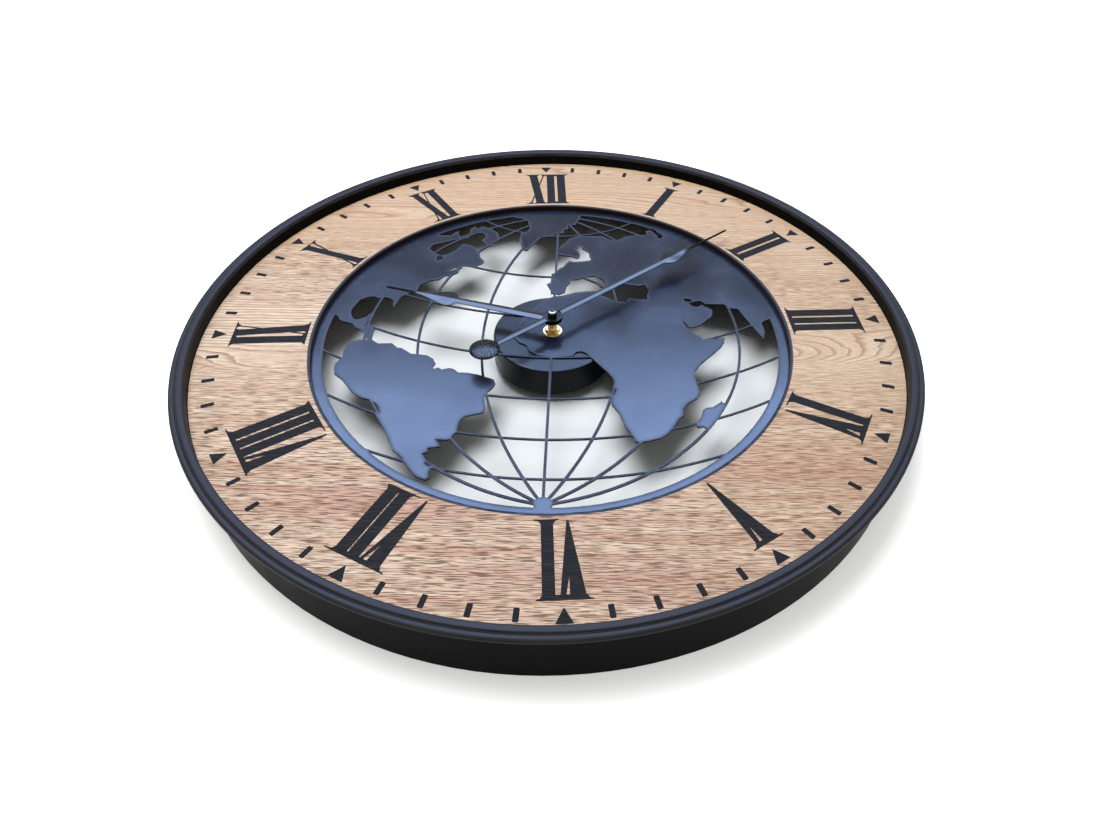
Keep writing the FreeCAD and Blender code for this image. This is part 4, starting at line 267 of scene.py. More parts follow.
def year_rings(look):
    """A field that grows by one for each year ring: its contour lines make the figures."""
    along, across = look.axis("X"), look.axis("Y")
    waver = look.noise(look.stretched(along=3.2, across=9), detail=3)
    field = look.math("MULTIPLY_ADD", across, 1 / (RING_PITCH * MM), look.times(waver, WAVER_RINGS))
    for zone, rings in FIGURES:
        field = look.math("MULTIPLY_ADD", bell(look, along, across, zone), rings, field)
    ripple = look.noise(look.stretched(along=40, across=260))
    return look.math("MULTIPLY_ADD", ripple, RIPPLE_RINGS, field)


def pores_of(look, ring):
    """Short dark dashes along the grain, crowded in each ring's early wood."""
    pore = look.noise(look.stretched(along=72, across=1350), detail=1)
    crowd = look.times(look.spread(ring, 0.0, 0.12), look.spread(ring, 0.75, 0.35))
    return look.spread(look.math("MULTIPLY_ADD", crowd, 0.08, pore), 0.555, 0.61)


def fibres_of(look):
    return look.noise(look.stretched(along=50, across=1700), detail=3, roughness=0.65)


def board_of(look):
    """Board behind the veneer, speckled at the back and dark at the cut edges."""
    back = look.math("LESS_THAN", look.normal(), -0.9)
    chips = look.noise(look.place, scale=1400)
    speckle = look.blend(chips, linear(150, 118, 84), linear(184, 150, 112))
    layers = look.noise(look.stretched(along=300, across=300, up=2500))
    edge = look.blend(layers, linear(26, 16, 11), linear(50, 32, 21))
    return look.blend(back, edge, speckle)


def oak():
    """Oak veneer on board: rings with cathedral figures, pores, fibres and flushed streaks."""
    look = turned("oak_veneer")
    along, across = look.axis("X"), look.axis("Y")
    field = year_rings(look)
    ring = look.math("FRACT", field)
    fibre = fibres_of(look)

    # calm zones have few pores and clear ring lines
    cloud = look.spread(look.noise(look.stretched(along=3.5, across=11)), 0.48, 0.34)
    calm = look.times(cloud, look.spread(across, -0.14, -0.08))
    calm = look.greater(calm, look.spread(across, 0.09, 0.17, 0, 0.8))
    for zone in CALM_ZONES:
        calm = look.greater(calm, bell(look, along, across, zone))
    pores = look.times(pores_of(look, ring), look.math("MULTIPLY_ADD", calm, -0.72, 1.0))
    late = look.times(look.spread(ring, 0.45, 0.95), look.spread(ring, 1.0, 0.96))
    line = look.times(look.spread(ring, 0.6, 0.9), look.spread(ring, 1.0, 0.93))
    line = look.times(line, look.math("MULTIPLY_ADD", calm, 0.52, 0.26))

    # each ring has a tone of its own, and low on the dial it shows more
    on_ring = look.node("ShaderNodeCombineXYZ", {0: look.times(along, 3.0), 1: look.times(field, 0.62)})
    tone = look.noise(on_ring.outputs[0])
    low = look.spread(across, -0.10, -0.19)
    streak = look.times(look.spread(tone, 0.46, 0.6), look.math("MULTIPLY_ADD", low, 0.3, 0.16))
    flush = 0.0
    for zone in FLUSHED_ZONES:
        flush = look.greater(flush, bell(look, along, across, zone))
    flush = look.times(flush, look.spread(fibre, 0.3, 0.6, 0.25, 0.8))

    # the sheet is warmer to the right and at the top
    warm = look.spread(along, 0.02, 0.24, 0, 0.3)
    warm = look.greater(warm, look.spread(across, 0.04, 0.17, 0, 0.42))
    radius = look.length(look.node("ShaderNodeCombineXYZ", {0: along, 1: across}).outputs[0])
    # near-black band along the dial's inner edge
    dark_rim = look.spread(radius, DARK_RIM_START, DARK_RIM_FULL)

    colour = look.blend(look.spread(tone, 0.36, 0.56), linear(240, 217, 186), linear(226, 195, 160))
    for share, tint in (
        (look.times(look.spread(fibre, 0.38, 0.66), 0.5), linear(198, 161, 127)),
        (look.times(calm, 0.5), linear(240, 219, 190)),
        (look.times(late, 0.36), linear(180, 137, 102)),
        (line, linear(138, 94, 62)),
        (look.greater(streak, flush), linear(180, 122, 86)),
        (look.times(pores, 0.8), linear(92, 60, 38)),
        (warm, linear(196, 158, 112)),
        (dark_rim, linear(13, 10, 9)),
    ):
        colour = look.blend(share, colour, tint)

    face = look.math("GREATER_THAN", look.normal(), 0.9)
    relief = look.math("SUBTRACT", look.times(fibre, 0.3), pores)
    look.set(Base_Color=look.blend(face, board_of(look), colour),
             Roughness=look.spread(pores, 0.0, 1.0, 0.52, 0.75),
             Normal=look.bump(relief, distance=0.00012, strength=0.7))
    look.specular(0.1)
    return look


def printed():
    """Printed ink that lets the veneer's pores through."""
    look = turned("dial_ink")
    pore = pores_of(look, look.math("FRACT", year_rings(look)))
    fibre = fibres_of(look)
    relief = look.math("SUBTRACT", fibre, pore)
    ink = look.blend(fibre, linear(18, 19, 20), linear(36, 36, 37))
    look.set(Base_Color=look.blend(look.times(pore, 0.3), ink, linear(74, 62, 52)),
             Roughness=0.7, Normal=look.bump(relief, distance=0.0001, strength=0.6))
    look.specular(0.03)
    return look


def wound():
    """Enamelled wire, wound turn beside turn along X."""
    look = Look("wound_wire")
    wave = look.node("ShaderNodeTexWave", {"Vector": look.place, "Scale": 1500.0, "Distortion": 0.3},
                     wave_type="BANDS", bands_direction="X").outputs["Fac"]
    look.set(Base_Color=look.blend(wave, linear(96, 40, 20), linear(196, 106, 58)), Metallic=0.8,
             Roughness=0.32, Normal=look.bump(wave, distance=0.00006))
    return look


# Where the battery's sleeve changes colour, and where it ends, in metres along the battery
SLEEVE_CHANGE, SLEEVE_END = 0.0095, 0.0243


def sleeve():
    """Plain battery sleeve: dark with a copper-coloured end, and bare metal at both ends."""
    look = Look("battery_sleeve")
    along = look.axis("X")
    end = look.math("GREATER_THAN", along, SLEEVE_CHANGE)
    bare = look.math("GREATER_THAN", look.math("ABSOLUTE", along), SLEEVE_END)
    colour = look.blend(end, linear(34, 35, 38), linear(176, 116, 62))
    look.set(Base_Color=look.blend(bare, colour, linear(190, 190, 186)),
             Metallic=look.times(bare, 0.95),
             Roughness=look.spread(look.noise(look.place, scale=300), 0.3, 0.7, 0.26, 0.36),
             Normal=look.bump(look.noise(look.place, scale=500), distance=0.00003))
    return look


def circuit():
    """Green solder mask with copper tracks under it."""
    look = Look("circuit_green")
    cells = {"Vector": look.place, "Scale": 420.0, "Randomness": 0.4}
    tracks = look.node("ShaderNodeTexVoronoi", cells, distance="MANHATTAN", feature="DISTANCE_TO_EDGE")
    line = look.spread(tracks.outputs["Distance"], 0.06, 0.1)
    look.set(Base_Color=look.blend(line, linear(64, 130, 72), linear(14, 74, 36)), Roughness=0.3,
             Normal=look.bump(line, distance=0.00004))
    return look


LOOKS = {
    # The bezel's black is a lighter copy of the band's paint, a painted sheen; the band's black is a
    # darker copy, painted shade.
    "black_steel": painted("black_steel", linear(54, 53, 57), roughness=0.42, level=0.028),
    "band_black_painted_shade": painted("band_black_painted_shade", linear(13, 14, 14), roughness=0.34, level=0.02),
    "map_steel": cut_sheet("map_steel", linear(18, 25, 43), roughness=0.21, level=0.14),
    "cup_steel": painted("cup_steel", linear(15, 17, 21), roughness=0.3, level=0.1),
    "hand_black": painted("hand_black", linear(8, 9, 12), roughness=0.2, level=0.14,
                          peel=0.3, dust=0.02),
    "cap_black": painted("cap_black", linear(12, 12, 14), roughness=0.12, level=1.0,
                         peel=0.1, dust=0.02),
    "weight_black": painted("weight_black", linear(6, 7, 9), roughness=0.2, level=0.06,
                            peel=5.0, dust=0.8, grit=(1100, 0.66, 0.69)),
    "oak_veneer": oak(),
    "ink": printed(),
    "zinc_screws": metal("zinc_screws", linear(196, 198, 200), roughness=0.32, scratch=(300, 300, 300)),
    "bright_steel": metal("bright_steel", linear(200, 198, 192), roughness=0.28, scratch=(40, 900, 900)),
    "brass_fittings": metal("brass_fittings", linear(198, 168, 112), roughness=0.26,
                            scratch=(200, 200, 1500)),
    "magnet": metal("magnet", linear(110, 110, 114), roughness=0.4, scratch=(300, 300, 300)),
    "black_plastic": moulded("black_plastic", linear(26, 26, 27), roughness=0.5, grain_scale=1500),
    "gear_plastic": moulded("gear_plastic", linear(226, 224, 212), roughness=0.4, grain_scale=700),
    "bobbin_plastic": moulded("bobbin_plastic", linear(206, 200, 180), roughness=0.42, grain_scale=700),
    "black_rubber": moulded("black_rubber", linear(30, 30, 30), roughness=0.75, grain_scale=2200,
                            level=0.2),
    "board": circuit(),
    "copper_wire": wound(),
    "battery_jacket": sleeve(),
}

NODE_LOOKS = {
    "side_band": "band_black_painted_shade",
    "front_bezel": "black_steel",
    "dial_ring": "oak_veneer",
    "ring_brackets": "black_steel",
    "bracket_screws": "zinc_screws",
    "plate_screws": "zinc_screws",
    "keyhole_hanger": "black_steel",
    "map_plate": "map_steel",
    "movement_cup": "cup_steel",
    "rubber_washer": "black_rubber",
    "brass_washer": "brass_fittings",
    "bush_nut": "brass_fittings",
    "threaded_bush": "brass_fittings",
    "movement_front_cover": "black_plastic",
    "movement_back_cover": "black_plastic",
    "train_plate": "bobbin_plastic",
    "minute_arbor": "bright_steel",
    "centre_wheel": "gear_plastic",
    "minute_wheel": "gear_plastic",
    "hour_wheel": "gear_plastic",
    "third_wheel": "gear_plastic",
    "second_wheel": "gear_plastic",
    "transfer_wheel": "gear_plastic",
    "rotor": "magnet",
    "stator_plate": "bright_steel",
    "coil_core": "bright_steel",
    "coil_bobbin": "bobbin_plastic",
    "coil_winding": "copper_wire",
    "circuit_board": "board",
    "quartz_crystal": "bright_steel",
    "battery": "battery_jacket",
    "positive_contact": "bright_steel",
    "negative_contact": "bright_steel",
    "setting_knob": "black_plastic",
    "hour_hand": "hand_black",
    "minute_hand": "hand_black",
    "counterweight": "weight_black",
    "cap_nut": "cap_black",
}


def dress(piece, look):
    piece.data.materials.clear()
    piece.data.materials.append(LOOKS[look].material)


for node_name, look_name in NODE_LOOKS.items():
    dress(NODES[node_name], look_name)


# Mesh pieces

def mesh_piece(name, form, look, body, replaced=(), *, sharp):
    """Object from a bmesh in millimetres: dressed, riding on a body, standing for nodes.

    Edges that turn by the sharp angle or more, in degrees, stay hard.
    """
    bmesh.ops.scale(form, vec=(MM, MM, MM), verts=form.verts)
    bmesh.ops.recalc_face_normals(form, faces=form.faces)
    limit = math.radians(sharp)
    for edge in form.edges:
        edge.smooth = len(edge.link_faces) == 2 and edge.calc_face_angle(0) < limit
    for face in form.faces:
        face.smooth = True
    mesh = bpy.data.meshes.new(name)
    form.to_mesh(mesh)
    form.free()
    piece = bpy.data.objects.new(name, mesh)
    bpy.context.scene.collection.objects.link(piece)
    dress(piece, look)
    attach(piece, body)
    if replaced:
        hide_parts(*replaced)
    return piece


def arc(centre, radius, start, end, steps):
    """Points of an arc in a section, its angles in degrees."""
    points = []
    for step in range(steps + 1):
        angle = math.radians(start + (end - start) * step / steps)
        points.append((centre[0] + radius * math.cos(angle), centre[1] + radius * math.sin(angle)))
    return points


def around(centre, radius, count):
    """Points at equal steps on a circle in the plane."""
    x, y = centre
    angles = [2 * math.pi * step / count for step in range(count)]
    return [(x + radius * math.cos(angle), y + radius * math.sin(angle)) for angle in angles]


def lathe(form, outline, segments, centre=(0, 0), closed=True):
    """Revolve an outline of (radius, height) points about an upright axis."""
    rings = []
    for radius, height in outline:
        places = [centre] if radius < 1e-6 else around(centre, radius, segments)
        rings.append([form.verts.new((x, y, height)) for x, y in places])
    pairs = list(zip(rings, rings[1:]))
    if closed:
        pairs.append((rings[-1], rings[0]))
    for low, high in pairs:
        for step in range(segments):
            after = (step + 1) % segments
            corners = [low[step % len(low)], low[after % len(low)],
                       high[after % len(high)], high[step % len(high)]]
            corners = list(dict.fromkeys(corners))
            if len(corners) > 2:
                form.faces.new(corners)
    return form


def join(form, lower, upper):
    """Faces between two closed loops of as many points."""
    for index in range(len(lower)):
        after = (index + 1) % len(lower)
        form.faces.new((lower[index], lower[after], upper[after], upper[index]))


def prism(form, points, low, high):
    """Upright prism on an outline of points in the plane."""
    bottom = [form.verts.new((x, y, low)) for x, y in points]
    top = [form.verts.new((x, y, high)) for x, y in points]
    form.faces.new(top)
    form.faces.new(bottom[::-1])
    join(form, bottom, top)


# Case

BEAD_LOW = 51.8
# Arcs of the rim's section, from the inside out: centre (radius, height), radius, first and
# last angle, steps. Two make the inner bead, one the groove, and two the outer bead.
RIM_ARCS = (
    ((291.2, BEAD_LOW), 1.9, 180, 90, 8),
    ((293.9, 52.6), 1.1, 90, 12, 6),
    ((295.35, 52.95), 0.4, 205, 335, 5),
    ((296.6, 52.1), 0.8, 165, 90, 5),
    ((298.1, 51.0), 1.9, 90, 0, 8),
)
RIM_STEPS = 384
SKIRT_INSIDE, SKIRT_OUTSIDE, SKIRT_LOW = 290.65, 291.85, 45.5
SKIRT_EASE, EDGE_EASE, SEAT_EASE = 0.2, 0.3, 0.1


def bezel():
    """Rolled rim: two round beads with a soft groove between them, and the skirt round the band."""
    outline = [(BAND_INSIDE, BAND_TOP), (BAND_INSIDE, BEAD_LOW)]
    for section in RIM_ARCS:
        outline += arc(*section)
    outline += [(RIM_RADIUS, BAND_TOP + EDGE_EASE), (RIM_RADIUS - EDGE_EASE, BAND_TOP),
                (SKIRT_OUTSIDE + SEAT_EASE, BAND_TOP), (SKIRT_OUTSIDE, BAND_TOP - SEAT_EASE),
                (SKIRT_OUTSIDE, SKIRT_LOW + SKIRT_EASE)]
    outline += arc((SKIRT_OUTSIDE - SKIRT_EASE, SKIRT_LOW + SKIRT_EASE), SKIRT_EASE, 0, -90, steps=3)
    outline += [(SKIRT_INSIDE, SKIRT_LOW), (SKIRT_INSIDE, BAND_TOP)]
    form = lathe(bmesh.new(), outline, RIM_STEPS)
    return mesh_piece("rolled_bezel", form, "black_steel", "case", ["front_bezel"],
                      sharp=60)


bezel()

# Numerals: outlines in (across, radius) millimetres, feet toward the centre

TOP = 264.0
FOOT = 204.5
SERIF_REACH = 1.0
HEAD = TOP + SERIF_REACH
HEEL = FOOT - SERIF_REACH
SERIF = 2.6
# Shares of that height at a serif's tips, along its bar, and where it meets the strokes
TIP_SHARE, BAR_SHARE, ROOT_SHARE = 0.35, 0.55, 1.5
TIP_TAPER = 0.6
ROOT_FLARE = 1.6
# Share by which a V's light sliver leans from its thick stroke toward its point
SLIVER_LEAN = 0.5
INK = 0.06
INK_LAYER = 0.004


def stroke(top_left, top_right, foot_left, foot_right):
    return [(foot_left, FOOT), (foot_right, FOOT), (top_right, TOP), (top_left, TOP)]


def upright(left, right):
    return stroke(left, right, left, right)


def serif(left, right, inner_left, inner_right, height, toward):
    """Thin bar with tapering ends and a soft foot at the strokes it carries."""
    tip, bar, root = (height + share * SERIF * toward for share in (TIP_SHARE, BAR_SHARE, ROOT_SHARE))
    return [
        (left, height), (right, height), (right - TIP_TAPER, tip), (inner_right + ROOT_FLARE, bar),
        (inner_right, root), (inner_left, root), (inner_left - ROOT_FLARE, bar), (left + TIP_TAPER, tip),
    ]


def head(left, right, inner_left, inner_right):
    return serif(left, right, inner_left, inner_right, HEAD, -1)


def heel(left, right, inner_left, inner_right):
    return serif(left, right, inner_left, inner_right, HEEL, 1)


def vee(left, thick_right, sliver_right, right, apex_left, apex_right, sliver_foot):
    """V: a thick stroke, a long light sliver, and a thin stroke, meeting in a point."""
    apex = (apex_left + apex_right) / 2
    share = (sliver_foot - FOOT) / (TOP - FOOT)
    notch = thick_right + (apex - thick_right) * (1 - share) * SLIVER_LEAN
    return [
        (apex_left, FOOT), (apex_right, FOOT), (right, TOP), (sliver_right, TOP), (notch, sliver_foot),
        (thick_right, TOP), (left, TOP),
    ]


NUMERALS = {
    12: [stroke(-18.6, -10, -11.1, -2.9), stroke(-3.6, -2.1, -17.1, -15.7), upright(0.3, 8.3),
         upright(11.1, 19.7),
         head(-22.8, -6.2, -18.6, -10), head(-6.4, -0.4, -3.6, -2.1), head(-3.0, 23.5, 0.3, 19.7),
         heel(-22.0, -13.0, -17.1, -15.7), heel(-14.2, 0.2, -11.1, -2.9), heel(-2.8, 23.5, 0.3, 19.7)],
    1: [upright(-4.3, 4.3), head(-8.3, 8.3, -4.3, 4.3), heel(-8.3, 8.3, -4.3, 4.3)],
    2: [upright(-10.2, -2), upright(0.3, 8.6), head(-15, 12, -10.2, 8.6), heel(-15, 12, -10.2, 8.6)],
    3: [upright(-15, -6.4), upright(-4.4, 3.3), upright(5, 13.2), head(-19, 18.3, -15, 13.2),
        heel(-19, 18.3, -15, 13.2)],
    4: [upright(-13.5, -5), vee(-4.3, 4.5, 8.5, 10.7, 5.6, 7.2, 250), head(-19.7, 15.7, -13.5, 10.7),
        heel(-16.4, 1.4, -13.5, -5)],
    5: [vee(-10, 0.3, 3.1, 6, -0.7, 0.7, 249), head(-15.3, 10.7, -10, 6)],
    6: [vee(-14.6, -4, -1.4, 2.1, -5.3, -3.9, 248), upright(4.9, 13.1), head(-19, 17.4, -14.6, 13.1),
        heel(0.7, 17.9, 4.9, 13.1)],
    7: [vee(-19.6, -8.9, -5.7, -3.6, -16, -14.6, 248), upright(-3.2, 5.5), upright(6.3, 15.2),
        head(-24.6, 21.7, -19.6, 15.2), heel(-10, 17, -3.2, 15.2)],
    8: [vee(-25.3, -15.7, -12.6, -10, -20.7, -19.3, 248), upright(-9.7, -1.4), upright(0, 8.4),
        upright(10, 19), head(-29, 24.6, -25.3, 19), heel(-15.7, 21.7, -9.7, 19)],
    9: [upright(-12.9, -4.3), stroke(-2.6, 5.4, 1.4, 10), stroke(10.4, 11.7, -2.9, -1.4),
        head(-16.5, 8.0, -12.9, 5.4), head(7.4, 16.5, 10.4, 11.7), heel(-16.5, 0.6, -12.9, -1.4),
        heel(-0.6, 14.5, 1.4, 10)],
    10: [stroke(-7.4, -0.3, -1, 6.7), stroke(5, 6.7, -6.4, -4.6), head(-11.5, 2.6, -7.4, -0.3),
         head(1.8, 11, 5, 6.7), heel(-10.6, -2.2, -6.4, -4.6), heel(-2.6, 11.5, -1, 6.7)],
    11: [stroke(-11, -3.9, -2.9, 4.3), stroke(2.1, 3.3, -7.9, -6.4), upright(6.3, 14),
         head(-14, -1.2, -11, -3.9), head(-0.6, 17.5, 2.1, 14), heel(-14, -4.6, -7.9, -6.4),
         heel(-5.0, 17.5, -2.9, 14)],
}

# Minute mark: a bar with eased corners. Hour mark: a triangle that points to the centre.
MARK = [(-1.4, 270.3), (1.4, 270.3), (1.95, 270.9), (1.95, 279.4), (1.4, 280), (-1.4, 280),
        (-1.95, 279.4), (-1.95, 270.9)]
HOUR_MARK = [(0, 269.8), (5.8, 281), (-5.8, 281)]
HOUR_STEP = 30
MINUTE_STEP = 6


def on_dial(angle, across, radius):
    """Place on the dial of a point beside the ray of a clock angle in degrees."""
    sine, cosine = math.sin(math.radians(angle)), math.cos(math.radians(angle))
    return (radius * sine + across * cosine, radius * cosine - across * sine)


def ink_shapes(name, shapes):
    """Thin printed shapes: a list of (clock angle, outline, layer)."""
    form = bmesh.new()
    for angle, outline, layer in shapes:
        points = [on_dial(angle, across, radius) for across, radius in outline]
        prism(form, points, DIAL_TOP, DIAL_TOP + INK + layer * INK_LAYER)
    return mesh_piece(name, form, "ink", "case", sharp=20)


for hour, outlines in NUMERALS.items():
    hour_angle = HOUR_STEP * hour
    ink_shapes(f"hour_{hour}", [(hour_angle, outline, layer) for layer, outline in enumerate(outlines)])
ink_shapes("minute_marks", [(MINUTE_STEP * minute, MARK, 0) for minute in range(60) if minute % 5])
ink_shapes("hour_marks", [(HOUR_STEP * hour, HOUR_MARK, 0) for hour in range(12)])


# Middle: cap nut, counterweight, bush, screws

CAP_RADIUS, CAP_LOW, CAP_TOP = 4.1, 51.7, 57.0
CAP_BORE, CAP_BORE_TOP = 1.6, 55.5
CAP_EASE, CAP_ROUND, CAP_FLAT = 0.3, 1.6, 1.2
CAP_STEPS = 64


def cap_nut():
    """Round nut on the minute arbor, its upper edge well rounded."""
    foot = CAP_RADIUS - CAP_EASE
    outline = [(CAP_BORE, CAP_LOW), (foot, CAP_LOW)]
    outline += arc((foot, CAP_LOW + CAP_EASE), CAP_EASE, -90, 0, steps=4)
    outline += arc((CAP_RADIUS - CAP_ROUND, CAP_TOP - CAP_ROUND), CAP_ROUND, 0, 90, steps=10)
    outline += [(CAP_FLAT, CAP_TOP), (0, CAP_TOP), (0, CAP_BORE_TOP), (CAP_BORE, CAP_BORE_TOP)]
    form = lathe(bmesh.new(), outline, CAP_STEPS)
    return mesh_piece("round_cap", form, "cap_black", "minute", ["cap_nut"], sharp=50)


WEIGHT_REACH, WEIGHT_RADIUS, WEIGHT_LOW = 69, 12.3, 50.9
WEIGHT_RIM, WEIGHT_DOME, WEIGHT_DOME_EDGE = 1.2, 2.6, 10.6
WEIGHT_BEVEL, WEIGHT_EASE = 0.4, 0.3
WEIGHT_STEPS = 96


def counterweight():
    """Domed disc at the end of the minute hand's tail, its edge turned to a bevel."""
    angle = math.radians(MINUTE_HAND_ANGLE)
    centre = (-WEIGHT_REACH * math.sin(angle), -WEIGHT_REACH * math.cos(angle))
    ball = (WEIGHT_RADIUS ** 2 + WEIGHT_DOME ** 2) / (2 * WEIGHT_DOME)
    start = math.degrees(math.asin(WEIGHT_DOME_EDGE / ball))
    bevelled = WEIGHT_RADIUS - WEIGHT_BEVEL
    rim = WEIGHT_LOW + WEIGHT_RIM
    crown = rim + WEIGHT_DOME
    outline = [(0, WEIGHT_LOW), (bevelled, WEIGHT_LOW), (WEIGHT_RADIUS, WEIGHT_LOW + WEIGHT_EASE),
               (WEIGHT_RADIUS, rim - WEIGHT_EASE), (bevelled, rim)]
    outline += arc((0, crown - ball), ball, 90 - start, 90, steps=14)
    outline[-1] = (0, crown)
    form = lathe(bmesh.new(), outline, WEIGHT_STEPS, centre)
    return mesh_piece("domed_weight", form, "weight_black", "minute", ["counterweight"],
                      sharp=25)


BUSH_RADIUS, BUSH_BORE = 4.0, 2.65
FLANGE_RADIUS, FLANGE_LOW, FLANGE_TOP = 5.6, 30.3, 30.8
THREAD_LOW, THREAD_HIGH, THREAD_PITCH, THREAD_DEPTH = 36.2, 44.6, 0.75, 0.42
THREAD_AROUND, THREAD_STEPS = 72, 120
# Inside the thread: the plain foot's top and radius, then the core's radius and the turned end
FOOT_TOP, FOOT_RADIUS = 36.3, 3.3
CORE_RADIUS, END_RADIUS, END_TOP = 3.5, 3.55, 45.0


def bush():
    """Threaded bush: its thread is a helical height field."""
    form = bmesh.new()
    grid = []
    for level in range(THREAD_STEPS + 1):
        height = THREAD_LOW + (THREAD_HIGH - THREAD_LOW) * level / THREAD_STEPS
        ring = []
        for step in range(THREAD_AROUND):
            turn = step / THREAD_AROUND
            phase = (height / THREAD_PITCH - turn) % 1
            reach = BUSH_RADIUS - THREAD_DEPTH * abs(2 * phase - 1)
            angle = 2 * math.pi * turn
            ring.append(form.verts.new((reach * math.cos(angle), reach * math.sin(angle), height)))
        grid.append(ring)
    for lower, upper in zip(grid, grid[1:]):
        join(form, lower, upper)
    foot = [(BUSH_BORE, FLANGE_LOW), (FLANGE_RADIUS, FLANGE_LOW), (FLANGE_RADIUS, FLANGE_TOP),
            (BUSH_RADIUS, FLANGE_TOP), (BUSH_RADIUS, FOOT_TOP), (FOOT_RADIUS, FOOT_TOP),
            (BUSH_BORE, FOOT_TOP)]
    core = [(BUSH_BORE, FOOT_TOP), (CORE_RADIUS, FOOT_TOP), (CORE_RADIUS, THREAD_HIGH),
            (END_RADIUS, END_TOP), (BUSH_BORE, END_TOP)]
    lathe(form, foot, THREAD_AROUND)
    lathe(form, core, THREAD_AROUND)
    return mesh_piece("thread_bush", form, "brass_fittings", "case",
                      ["threaded_bush"], sharp=40)


HEAD_RADIUS, HEAD_HEIGHT, HEAD_ROUND = 3.0, 1.7, 1.1
SHANK_RADIUS, SHANK_CORE, SHANK_TURNS = 1.4, 1.05, 6
# Where the groove and the ridge of its thread stand, in shares of a turn
GROOVE_AT, RIDGE_AT = 0.25, 0.6
# Screw cross: the flat field round it, (radius, angle) of each arm's corners, and its tapering depth
FIELD_RADIUS = 1.6
ARM_CORNERS = ((0.45, -math.pi / 4), (1.35, -0.2), (1.35, 0.2))
CROSS_DEPTH, CROSS_TAPER = 1.1, 0.6
HEAD_STEPS, SHANK_STEPS = 32, 16
SCREW_LENGTH = 4.7
# Radians between one screw's cross and the next one's
SCREW_TURN = 0.7
WELD = 0.002


def screw_form(form, centre, top, turn):
    """Pan head with a cross recess, head down, and a shank with a thread going up."""
    x, y = centre
    head_low = top - HEAD_HEIGHT
    edge = arc((HEAD_RADIUS - HEAD_ROUND, head_low + HEAD_ROUND), HEAD_ROUND, -90, 0, steps=5)
    pan = [(FIELD_RADIUS, head_low)] + edge + [(HEAD_RADIUS, top), (SHANK_RADIUS, top)]
    lathe(form, pan, HEAD_STEPS, centre, closed=False)
    arms = []
    for quarter_turn in range(4):
        base = turn + quarter_turn * math.pi / 2
        arms += [(x + radius * math.cos(base + angle), y + radius * math.sin(base + angle))
                 for radius, angle in ARM_CORNERS]
    field = around(centre, FIELD_RADIUS, HEAD_STEPS)
    rim_loop = [form.verts.new((px, py, head_low)) for px, py in field]
    mouth = [form.verts.new((px, py, head_low)) for px, py in arms]
    floor_low = head_low + CROSS_DEPTH
    tapered = [(x + CROSS_TAPER * (px - x), y + CROSS_TAPER * (py - y)) for px, py in arms]
    bottom = [form.verts.new((px, py, floor_low)) for px, py in tapered]
    edges = []
    for loop in (rim_loop, mouth):
        edges += [form.edges.new((first, second)) for first, second in zip(loop, loop[1:] + loop[:1])]
    bmesh.ops.triangle_fill(form, edges=edges, use_beauty=True)
    join(form, mouth, bottom)
    form.faces.new(bottom)
    pitch = SCREW_LENGTH / SHANK_TURNS
    thread = [(SHANK_RADIUS, top)]
    for step in range(SHANK_TURNS):
        height = top + pitch * step
        thread += [(SHANK_CORE, height + GROOVE_AT * pitch), (SHANK_RADIUS, height + RIDGE_AT * pitch)]
    lathe(form, thread + [(0, top + SCREW_LENGTH)], SHANK_STEPS, centre, closed=False)


def screws(name, circle, count, top, node):
    """Screws at equal steps on a circle, each with its cross turned differently."""
    form = bmesh.new()
    for index in range(count):
        angle = 2 * math.pi * (index + 0.5) / count
        centre = (circle * math.cos(angle), circle * math.sin(angle))
        screw_form(form, centre, top, SCREW_TURN * index)
    bmesh.ops.remove_doubles(form, verts=form.verts, dist=WELD)
    return mesh_piece(name, form, "zinc_screws", "case", [node], sharp=30)


cap_nut()
counterweight()
bush()
screws("plate_cross_screws", circle=205.5, count=8, top=PLATE_BACK, node="plate_screws")
screws("tab_cross_screws", circle=274.0, count=6, top=TAB_BACK, node="bracket_screws")


# Stage, light and camera

FLOOR_REACH = 8.0
FLOOR_LOW = -0.0004
# The floor glows from the hoop's edge outward, from a weaker glow to a full one
GLOW_START, GLOW_FULL = 0.29, 0.34
WEAK_GLOW, FULL_GLOW = 0.48, 0.8
# Its tint is cool under the map, a painted cool light, and warm from under the hour ring outward
PAINTED_COOL_REACH, WARM_REACH = 0.22, 0.28
PAINTED_COOL_LIGHT_FLOOR, WARM_FLOOR = (0.86, 0.895, 0.93, 1), (0.9, 0.9, 0.885, 1)
# The world's even light, which isn't seen
PLAIN_LIGHT, PLAIN_COLOUR = 0.25, (1.0, 0.99, 0.88, 1)
WHITE = (1, 1, 1, 1)


